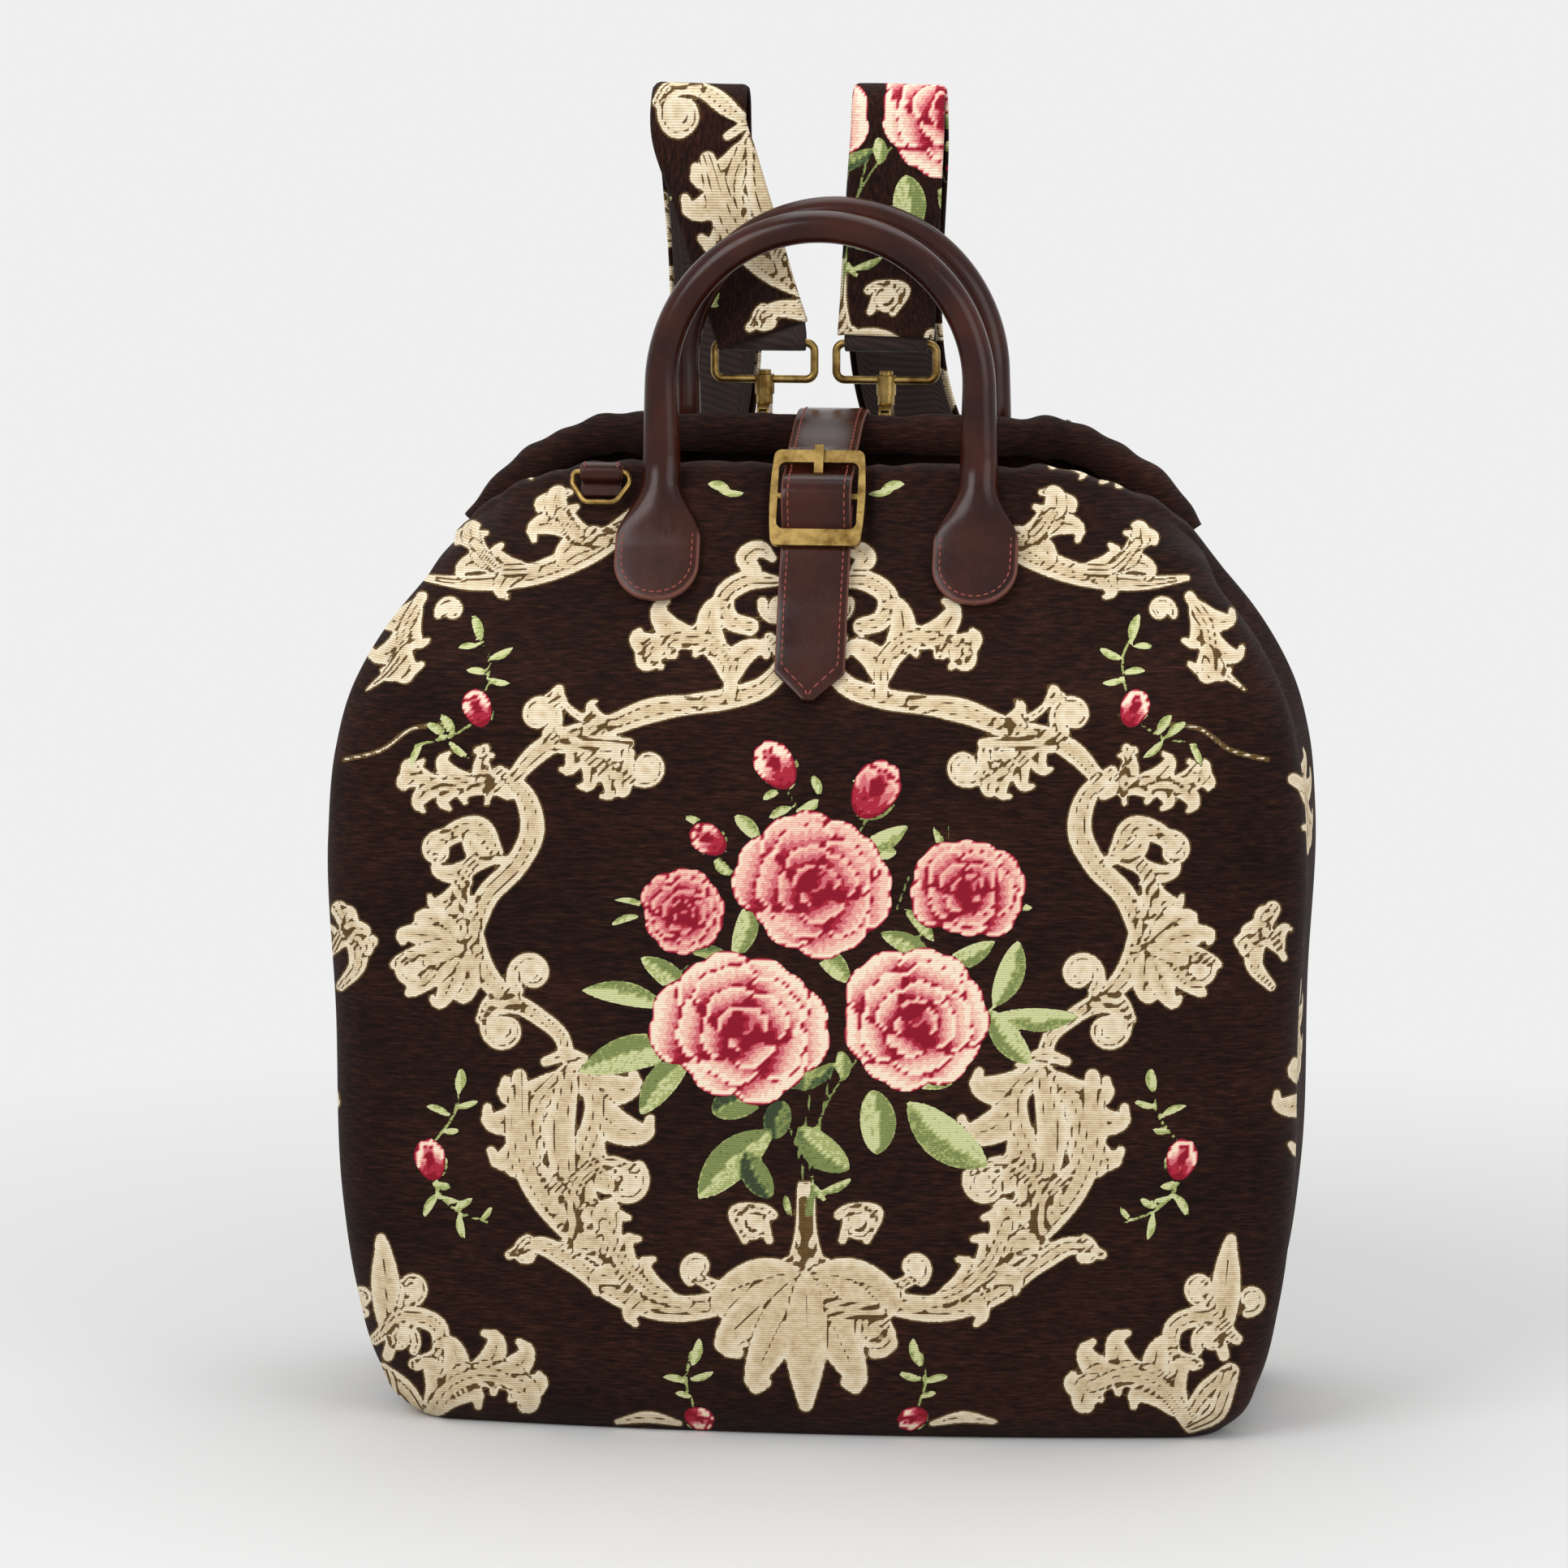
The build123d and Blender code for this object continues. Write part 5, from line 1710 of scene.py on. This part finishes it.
@dataclass
class Handle:
    """A rolled leather handle that flares into two sewn tabs."""

    name: str
    face: FaceLine
    body: str
    finishes: dict[Cloths, bpy.types.Material]
    half_span: float = 63.5
    radius: float = 6.4
    top: float = 490.0
    tab_half: float = 17.0
    tab_drop: float = 56.0
    tab_corner: float = 16.0
    tab_thickness: float = 3.6

    def spine(self) -> Array:
        """Half of the handle's middle line, from the arch's top to the tab's end."""
        neck_y, neck_z = self.face.at(-4, 0.4 + self.radius)
        spring = self.top - self.radius - self.half_span
        turn = np.radians(np.linspace(90, 0, 24))
        arch = [(self.half_span * math.cos(a), neck_y, spring + self.half_span * math.sin(a))
                for a in turn]
        drop = [(self.half_span, neck_y, z) for z in np.linspace(spring, neck_z, 8)[1:]]
        lie = 0.4 + self.tab_thickness / 2
        foot = [self.face.spot(self.half_span, s, lie + 2.6 * math.exp(-s / 9))
                for s in np.linspace(8, self.tab_drop, 12)]
        return spline(arch + drop + foot, 200)

    def build(self) -> None:
        """Builds the handle and its stitches."""
        line = self.spine()
        both = np.concatenate([line[::-1] * [-1, 1, 1], line[1:]])
        run = np.r_[0, np.cumsum(np.linalg.norm(np.diff(both, axis=0), axis=1))]
        total = run[-1]
        along = np.gradient(both, axis=0)
        along /= np.linalg.norm(along, axis=1)[:, None]
        slope = math.radians(self.face.slope)
        out = np.array([0, self.face.side * math.cos(slope), math.sin(slope)])
        flat = np.array([0.0, float(self.face.side), 0.0])

        def place(u: Array, v: Array) -> Array:
            """A point of the handle's skin."""
            s = v * total
            index = np.arange(len(both))
            where = np.interp(s, run, index)
            middle = np.stack([np.interp(where, index, both[:, k]) for k in range(3)], 1)
            way = np.stack([np.interp(where, index, along[:, k]) for k in range(3)], 1)
            end = np.minimum(s, total - s)
            tab = 1 - ease((end - 27) / 22)
            face_out = flat + (out - flat) * tab[:, None]
            face_out -= way * (face_out * way).sum(1)[:, None]
            face_out /= np.linalg.norm(face_out, axis=1)[:, None]
            side = np.cross(way, face_out)
            leg = self.radius + 1.5 * (1 - ease((end - 40) / 70))
            half = leg + (self.tab_half - leg) * (1 - ease((end - 26) / 24))
            corner = np.clip(self.tab_corner - end, 0, self.tab_corner)
            half -= self.tab_corner - np.sqrt(np.maximum(self.tab_corner**2 - corner**2, 0))
            thick = self.radius + (self.tab_thickness / 2 - self.radius) * (1 - ease((end - 22) / 30))
            thick *= 0.55 + 0.45 * ease(end / 1.2)
            power = 2 + 2.6 * (1 - ease((end - 25) / 15))
            ring = rounded(u, np.maximum(half, 0.4), thick, power)
            return middle + side * ring[:, :1] + face_out * ring[:, 1:]

        piece = closed_form(self.name, 40, 420, place)
        self.mark_edge(piece)
        piece.data.materials.append(self.finishes[Cloths.LEATHER])
        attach(piece, self.body)
        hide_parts(self.name.replace("_leather", ""))
        self.stitches()

    def mark_edge(self, piece: bpy.types.Object) -> None:
        """Keeps where the tabs' cut edges show."""
        points = mesh_points(piece)
        x = np.abs(points[:, 0]) - self.half_span
        lean = math.radians(self.face.slope)
        drop = (self.face.z - points[:, 2]) * math.cos(lean)
        drop += (points[:, 1] - self.face.y) * self.face.side * math.sin(lean)
        low = np.clip(drop - (self.tab_drop - self.tab_corner), 0, None)
        reach = np.hypot(x * self.tab_corner / self.tab_half, low)
        reach = np.where(low > 0, reach, np.abs(x) * self.tab_corner / self.tab_half)
        edge = ease((reach - self.tab_corner + 1.3) / 0.7) * ease((drop - 24) / 6)
        point_values(piece, "edge", edge)

    def stitches(self) -> None:
        """The rust-red stitching round each tab."""
        bm = bmesh.new()
        row = Stitches(self.face)
        inset = 3.0
        half = self.tab_half - inset
        low = self.tab_drop - self.tab_corner
        for turn in (-1, 1):
            middle = turn * self.half_span
            round_end = [(middle + half * math.cos(a), low + (self.tab_corner - inset) * math.sin(a))
                         for a in np.radians(np.linspace(0, 180, 25))]
            line = [(middle + half, 27), *round_end, (middle - half, 27)]
            row.sew(bm, line, 0.4 + self.tab_thickness + 0.05)
        piece = link_mesh(f"{self.name}_stitches", bm)
        piece.data.materials.append(self.finishes[Cloths.THREAD])
        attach(piece, self.body)


@dataclass
class FlatPiece:
    """A flat piece of leather or webbing that follows a line, with rounded edges."""

    name: str
    path: StrapPath
    width: float
    thickness: float
    power: float = 6.0
    point: float = 0.0
    around: int = 40
    along: int = 200

    def half_at(self, v: Array) -> Array:
        """Half of its width, narrowed to a blunt point at its end where it has one."""
        half = np.full_like(v, self.width / 2)
        if self.point:
            left = (1 - v) * self.path.length
            half = np.minimum(half, 2.2 + left * (self.width / 2 - 2.2) / self.point)
        return half

    def build(self) -> bpy.types.Object:
        """Builds the piece.

        Returns:
            The new object.
        """
        def place(u: Array, v: Array) -> Array:
            """A point of its skin."""
            ring = rounded(u, self.half_at(v), np.full_like(v, self.thickness / 2),
                           np.full_like(v, self.power))
            return self.path.at(v, ring[:, 0], ring[:, 1])

        piece = closed_form(self.name, self.around, self.along, place)
        return piece


def leather_edge(piece: bpy.types.Object, share: Callable[[Array], Array]) -> None:
    """Keeps where a leather piece's cut edge shows, from its points."""
    point_values(piece, "edge", share(mesh_points(piece)))


@dataclass
class ClosingStrap:
    """The leather strap over the mouth, with the loop that holds its buckle."""

    finishes: dict[Cloths, bpy.types.Material]
    width: float = 28.0
    thickness: float = 2.4
    reach: float = 98.0
    rise: float = 7.0

    def line(self) -> list[tuple[float, float, float]]:
        """The strap's line, from its sewn end behind to its point in front."""
        lie = 1.6
        thread = 4.15
        hump = 13.8
        spots = [BACK.at(20, lie + 0.8), BACK.at(6, lie + 1.2), BACK.at(-3, lie + 1.8),
                 (21.6, 403.7), (15.6, 404.0), (1.6, 402.0), (-24.8, 393.7),
                 FRONT.at(-5, thread), FRONT.at(-1, thread + 0.5), FRONT.at(9, hump - 0.8),
                 FRONT.at(12.5, hump), FRONT.at(16, hump - 0.8), FRONT.at(26, thread + 0.4),
                 FRONT.at(34, thread), FRONT.at(62, 2.3 + lie + 0.4), FRONT.at(76, lie + 0.9),
                 FRONT.at(self.reach, lie + 1.4)]
        return [(0.0, y, z) for y, z in spots]

    def build(self) -> None:
        """Builds the strap, its stitches and the buckle's loop."""
        path = StrapPath(self.line(), 240)
        piece = FlatPiece("closing_strap_leather", path, self.width, self.thickness,
                          point=12.0, along=260).build()
        leather_edge(piece, lambda p: ease((np.abs(p[:, 0]) - 13.2) / 0.5))
        piece.data.materials.append(self.finishes[Cloths.LEATHER])
        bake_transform(piece)
        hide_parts("closing_strap")
        self.stitches(path)
        self.chape()

    def stitches(self, path: StrapPath) -> None:
        """The two rows of stitches along the strap, meeting at its point."""
        bm = bmesh.new()
        row = Stitches(FRONT)
        total = path.length
        for turn in (-1, 1):
            for s in np.arange(4, total - 3, row.pitch):
                ends = []
                for at in (s, s + row.length):
                    left = total - at
                    across = min(11.2, 0.4 + max(left - 3.5, 0) * 0.95)
                    spot = path.at(np.array([at / total]), np.array([turn * across]),
                                   np.array([self.thickness / 2 + 0.02]))[0]
                    ends.append(Vector(spot) * MM)
                row.one(bm, ends[0], ends[1])
        piece = link_mesh("closing_strap_stitches", bm)
        piece.data.materials.append(self.finishes[Cloths.THREAD])
        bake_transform(piece)

    def chape(self) -> None:
        """The loop round the buckle's bar, seen beside the strap."""
        centre = FRONT.at(12.5, self.rise)
        middle = [FRONT.spot(0, 62, 1.55), FRONT.spot(0, 40, 1.55), FRONT.spot(0, 20, 1.55),
                  FRONT.spot(0, 14, 1.7)]
        path = StrapPath(middle, 40)
        piece = FlatPiece("buckle_loop_leather", path, 27.4, 2.2, along=60).build()
        leather_edge(piece, lambda p: ease((np.abs(p[:, 0]) - 12.9) / 0.5))
        bm = bmesh.new()
        bm.from_mesh(piece.data)
        turn = Matrix.Rotation(math.radians(90), 4, "Y")
        place = Matrix.Translation(Vector((0, *centre)) * MM)
        for span in (-9.8, 9.8):
            bmesh.ops.create_cone(bm, cap_ends=True, segments=40, radius1=3.9 * MM,
                                  radius2=3.9 * MM, depth=7.6 * MM,
                                  matrix=place @ Matrix.Translation((span * MM, 0, 0)) @ turn)
        bm.to_mesh(piece.data)
        bm.free()
        piece.data.materials.append(self.finishes[Cloths.LEATHER])
        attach(piece, "front_frame")
        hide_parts("buckle_chape")


# Shoulder straps


@dataclass
class ShoulderStrap:
    """One shoulder strap: tapestry outside, webbing inside, turned round its hook's loop."""

    name: str
    turn: int
    finishes: dict[Cloths, bpy.types.Material]
    ring_x: float
    top_x: float
    lower_x: float
    cover: float = 38.0
    webbing: float = 34.0
    webbing_thickness: float = 1.8
    face: float = 1.6
    top: float = 530.0
    anchor_back: float = 44.0
    bar: float = 429.0
    lower_back: float = 92.5
    lower_bar: float = 107.0
    rear: float = 99.5
    bend: float = 400.0
    wrap: float = 2.85

    def fold(self, y: float, z: float) -> list[tuple[float, float]]:
        """The webbing's turn under a loop's bar, from behind it to the front."""
        arc = [(y + self.wrap * math.cos(a), z - self.wrap * math.sin(a))
               for a in np.radians(np.arange(0, 181, 30))]
        return [(y + self.wrap, z + 2.5), *arc, (y - self.wrap, z + 2.5)]

    def outside(self) -> list[tuple[float, float, float]]:
        """The strap's way from the loop up, over its top and down the back."""
        x, t, b = self.ring_x, self.top_x, self.anchor_back
        lean = (t - x) / (self.top - self.bar - 14)
        return [
            (x, b - self.wrap, self.bar + 2.5), (x + 16 * lean, b + 3.0, self.bar + 16),
            (x + 30 * lean, b + 6.0, self.bar + 30), (x + 70 * lean, b + 13, self.bar + 70),
            (t, b + 17, self.top - 14), (t, b + 20, self.top - 4), (t, b + 27, self.top),
            (t, b + 34, self.top - 4), (t, b + 37, self.top - 14),
            (t, self.rear, self.bend),
            *((t + (self.lower_x - t) * share, self.rear,
               self.bend + (self.lower_bar + 22 - self.bend) * share) for share in (0.08, 0.3, 0.6, 0.92, 1)),
        ]

    def build(self) -> None:
        """Builds the strap's pieces."""
        x, t, b = self.ring_x, self.top_x, self.anchor_back
        lean = (t - x) / (self.top - self.bar - 14)
        gap = self.webbing_thickness + self.face + 0.2
        tuck = [(x + 30 * lean, b + 6 + gap, self.bar + 30), (x + 16 * lean, b + 3 + gap, self.bar + 16)]
        tuck += [(x, y, z) for y, z in self.fold(b, self.bar)]
        low = [(self.lower_x, y, z) for y, z in self.fold(self.lower_back, self.lower_bar)]
        whole = StrapPath(tuck + self.outside()[1:] + low, 400)
        piece = FlatPiece(f"{self.name}_webbing", whole, self.webbing, 1.7, 8.0, around=24, along=360).build()
        piece.data.materials.append(self.finishes[Cloths.WEBBING])
        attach(piece, "bag")
        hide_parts(f"{self.name}_strap_webbing")
        self.tapestry()
        self.tail()

    def tapestry(self) -> None:
        """The brocade face of the strap, with the design running along it."""
        path = StrapPath(self.outside(), 300)
        lift = (self.webbing_thickness + self.face) / 2 + 0.05
        length = path.length
        columns, rows = 34, int(length / 1.5)

        def place(u: Array, v: Array) -> Array:
            """A point of the face, rounded over at its edges."""
            across = (u * 2 - 1) * self.cover / 2
            edge = ease((np.abs(across) - self.cover / 2 + 1.6) / 1.6)
            puff = 0.35 * np.sin(v * length / 7.0 + across * 0.1)
            wave = 0.5 * np.sin(v * length / 31 + self.turn) * np.sign(across) * edge
            return path.at(v, across + wave, -(lift + self.face / 2 + puff * (1 - edge) - edge * 1.5))

        piece = link_mesh(f"{self.name}_tapestry", grid_mesh(columns, rows, place))
        uv = np.array([d.uv[:] for d in piece.data.uv_layers["cloth"].data])
        loops = np.zeros(len(piece.data.loops), int)
        piece.data.loops.foreach_get("vertex_index", loops)
        flat = np.zeros((len(piece.data.vertices), 2))
        flat[loops] = uv
        across = (flat[:, 0] * 2 - 1) * self.cover / 2
        run = flat[:, 1] * length
        if self.turn < 0:
            x, y = 640 + across / UNIT_ACROSS * 0.9, 1560 - run / 0.33
        else:
            x, y = 1060 + across / UNIT_ACROSS, 1560 - run / UNIT_ACROSS
        keep_weave(piece, weave_design(x, y))
        thick = piece.modifiers.new("thickness", "SOLIDIFY")
        thick.thickness = 0.0012
        thick.offset = 0
        piece.data.materials.append(self.finishes[Cloths.TAPESTRY])
        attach(piece, "bag")
        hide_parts(f"{self.name}_strap_cover")

    def tail(self) -> None:
        """The webbing that comes back up to the slider."""
        inner = self.rear - self.webbing_thickness - 3.6
        low = self.lower_bar + 22
        share = (165 - low) / (self.bend - low)
        slider_x = self.lower_x + (self.top_x - self.lower_x) * share
        points = [(self.lower_x, self.lower_back - self.wrap, self.lower_bar + 3),
                  (self.lower_x, inner - 1, low), (slider_x, inner, 165)]
        piece = FlatPiece(f"{self.name}_tail_webbing", StrapPath(points, 60), self.webbing, 1.7, 8.0,
                          around=24, along=60).build()
        piece.data.materials.append(self.finishes[Cloths.WEBBING])
        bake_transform(piece)
        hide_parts(f"{self.name}_strap_tail")


@dataclass
class Trim:
    """The small leather rolls and tabs, the lining and the padded sleeve."""

    finishes: dict[Cloths, bpy.types.Material]
    form: BagForm
    ring_reach: float = 87.5
    lining_floor: float = 6.5
    lining_rise: float = 278.0
    pad: float = 5.0
    sleeve_width: float = 290.0
    sleeve_height: float = 232.0
    sleeve_middle: float = 123.9
    sleeve_top: float = 239.9

    def build(self) -> None:
        """Builds them all."""
        self.ring_roll("front", FRONT, -self.ring_reach, "front_frame")
        self.ring_roll("back", BACK, self.ring_reach, "bag")
        for side, turn in (("left", -1), ("right", 1)):
            x = -6 + 25 * turn
            self.anchor_tab(f"{side}_upper", x, 44.0, 368.8, 1.1)
            self.anchor_tab(f"{side}_lower", 112 * turn, 92.5, 46.8, -14.5)
        self.lining()
        self.sleeve()

    def ring_roll(self, name: str, face: FaceLine, x: float, body: str) -> None:
        """A leather roll round a side ring's bar, with stitches near its ends."""
        y, z = face.at(2.0, 4.4)

        def place(u: Array, v: Array) -> Array:
            """A point of the roll, its ends turned over."""
            end = np.minimum(v, 1 - v) * 17
            radius = 3.9 * (0.35 + 0.65 * ease((end + 0.9) / 1.9))
            angle = u * 2 * math.pi
            return np.stack([x + (v - 0.5) * 17, y + radius * np.cos(angle), z + radius * np.sin(angle)], 1)

        piece = closed_form(f"{name}_ring_roll", 32, 40, place)
        leather_edge(piece, lambda p: ease((np.abs(p[:, 0] - x) - 8.0) / 0.4))
        bm = bmesh.new()
        bm.from_mesh(piece.data)
        spot = Vector(face.spot(x, 6.5, 1.3)) * MM
        lean = Matrix.Rotation(math.radians(-face.side * (90 - face.slope)), 4, "X")
        size = Matrix.Diagonal((16.6 * MM, 9.5 * MM, 1.8 * MM, 1))
        made = bmesh.ops.create_cube(bm, size=1, matrix=Matrix.Translation(spot) @ lean @ size)
        edges = list({e for v in made["verts"] for e in v.link_edges})
        bmesh.ops.bevel(bm, geom=edges, offset=0.0007, offset_type="OFFSET", segments=3,
                        profile=0.5, affect="EDGES", material=-1)
        bm.to_mesh(piece.data)
        bm.free()
        piece.data.materials.append(self.finishes[Cloths.LEATHER])
        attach(piece, body)
        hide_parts(f"{name}_ring_loop")
        threads = bmesh.new()
        row = Stitches(face)
        for end in (-6.6, 6.6):
            for k in range(5):
                a0 = math.radians(35 + 26 * k)
                a1 = math.radians(35 + 26 * k + 18)
                ends = [Vector((x + end, y + 4.0 * math.cos(a) * face.side, z + 4.0 * math.sin(a))) * MM
                        for a in (a0, a1)]
                row.one(threads, ends[0], ends[1])
        thread = link_mesh(f"{name}_ring_roll_stitches", threads)
        thread.data.materials.append(self.finishes[Cloths.THREAD])
        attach(thread, body)

    def anchor_tab(self, name: str, x: float, y: float, z: float, lean: float) -> None:
        """A leather tab folded round an anchor ring's bar."""
        points = [(x, y - 2.8 + lean, z - 26), (x, y - 2.8 + lean * 0.3, z - 8), (x, y - 2.8, z),
                  (x, y - 1.4, z + 2.4), (x, y + 1.4, z + 2.4), (x, y + 2.8, z), (x, y + 1.4, z - 4),
                  (x, y - 0.6 + lean * 0.35, z - 9)]
        piece = FlatPiece(f"{name}_tab", StrapPath(points, 90), 15.0, 1.9, along=90).build()
        leather_edge(piece, lambda p: ease((np.abs(p[:, 0] - x) - 6.8) / 0.4))
        piece.data.materials.append(self.finishes[Cloths.LEATHER])
        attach(piece, "bag")
        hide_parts(f"{name}_anchor_tab")

    def lining(self) -> None:
        """The lining, drawn in from the cloth, front and back and floor."""
        def place(u: Array, v: Array) -> Array:
            """A point of the lining from its front middle round to its back middle."""
            around = u * 4 % 4
            front = around < 2
            share = np.where(front, around - 1, 3 - around)
            height = self.lining_floor + v * self.lining_rise
            near = self.form.section(-1, share, height)
            far = self.form.section(1, share, height)
            point = np.where(front[:, None], near, far)
            inset = 5.0 + 11.0 * ease((height - 130) / 130)
            point[:, :2] *= (1 - inset / np.hypot(point[:, 0], point[:, 1]))[:, None]
            return point

        bm = grid_mesh(220, 90, place)
        bmesh.ops.remove_doubles(bm, verts=bm.verts, dist=0.00005)
        rim = [e for e in bm.edges if e.is_boundary and e.verts[0].co.z < 0.05]
        bmesh.ops.contextual_create(bm, geom=rim)
        piece = link_mesh("lining_cloth", bm)
        piece.data.materials.append(self.finishes[Cloths.LINING])
        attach(piece, "bag")
        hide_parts("lining")

    def sleeve(self) -> None:
        """The padded laptop sleeve and its strap."""
        bm = bmesh.new()
        wide, high, pad, middle = self.sleeve_width, self.sleeve_height, self.pad, self.sleeve_middle
        for spot, box in (
            ((0, 24.5, middle), (wide, pad, high)), ((0, 53.5, middle), (wide, pad, high)),
            ((-142.5, 39, middle), (pad, 24, high)), ((142.5, 39, middle), (pad, 24, high)),
            ((0, 39, 10.4), (280, 24, pad)),
        ):
            size = Matrix.Diagonal((*(side * MM for side in box), 1))
            bmesh.ops.create_cube(bm, size=1, matrix=Matrix.Translation(Vector(spot) * MM) @ size)
        bmesh.ops.bevel(bm, geom=bm.edges[:], offset=0.0018, offset_type="OFFSET", segments=3,
                        profile=0.5, affect="EDGES", material=-1)
        piece = link_mesh("laptop_sleeve_pad", bm)
        piece.data.materials.append(self.finishes[Cloths.LINING])
        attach(piece, "bag")
        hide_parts("laptop_sleeve")
        top = self.sleeve_top
        points = [(0, 49.7, top - 55), (0, 49.7, top + 2), (0, 46.7, top + 4.5), (0, 23.7, top + 4),
                  (0, 20.7, top + 1.5), (0, 20.7, top - 55)]
        path = StrapPath(points, 80)
        tab = FlatPiece("laptop_strap_webbing", path, 30, 1.9, 8.0, around=24, along=80).build()
        tab.data.materials.append(self.finishes[Cloths.WEBBING])
        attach(tab, "bag")
        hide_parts("laptop_tab")


def dress_cad(finishes: dict[Cloths, bpy.types.Material]) -> None:
    """Gives every CAD node its finish."""
    by_slot = {
        "antique_brass": Cloths.BRASS, "bow_steel": Cloths.STEEL, "board": Cloths.BOARD,
        "leather": Cloths.LEATHER, "webbing": Cloths.WEBBING, "lining": Cloths.LINING,
        "brocade": Cloths.CHENILLE, "strap_tapestry": Cloths.CHENILLE,
    }
    slots = {part["node"]: part["material_slot"] for part in frame["record"]["subparts"]}
    for name, node in frame["nodes"].items():
        node.data.materials.clear()
        node.data.materials.append(finishes[by_slot[slots[name]]])


def main() -> None:
    """Builds the scene in order."""
    logging.basicConfig(level=logging.INFO, format="%(message)s")
    scene = bpy.context.scene
    scene.view_settings.view_transform = "Standard"
    view = PhotoView()
    view.place_camera()
    Studio().build()
    finishes = make_finishes()
    dress_cad(finishes)
    form = BagForm()
    BagCloth(form, finishes, view).build()
    Handle("front_handle_leather", FRONT, "front_frame", finishes).build()
    Handle("back_handle_leather", BACK, "bag", finishes).build()
    ClosingStrap(finishes).build()
    for name, turn in (("left", -1), ("right", 1)):
        ShoulderStrap(name, turn, finishes, -6.0 + 25 * turn, -19.0 + 41 * turn, 112.0 * turn).build()
    Trim(finishes, form).build()
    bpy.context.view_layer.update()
    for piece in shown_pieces():
        log.info("%s: %d faces", piece.name, len(piece.data.polygons))


if __name__ == "__main__":
    main()
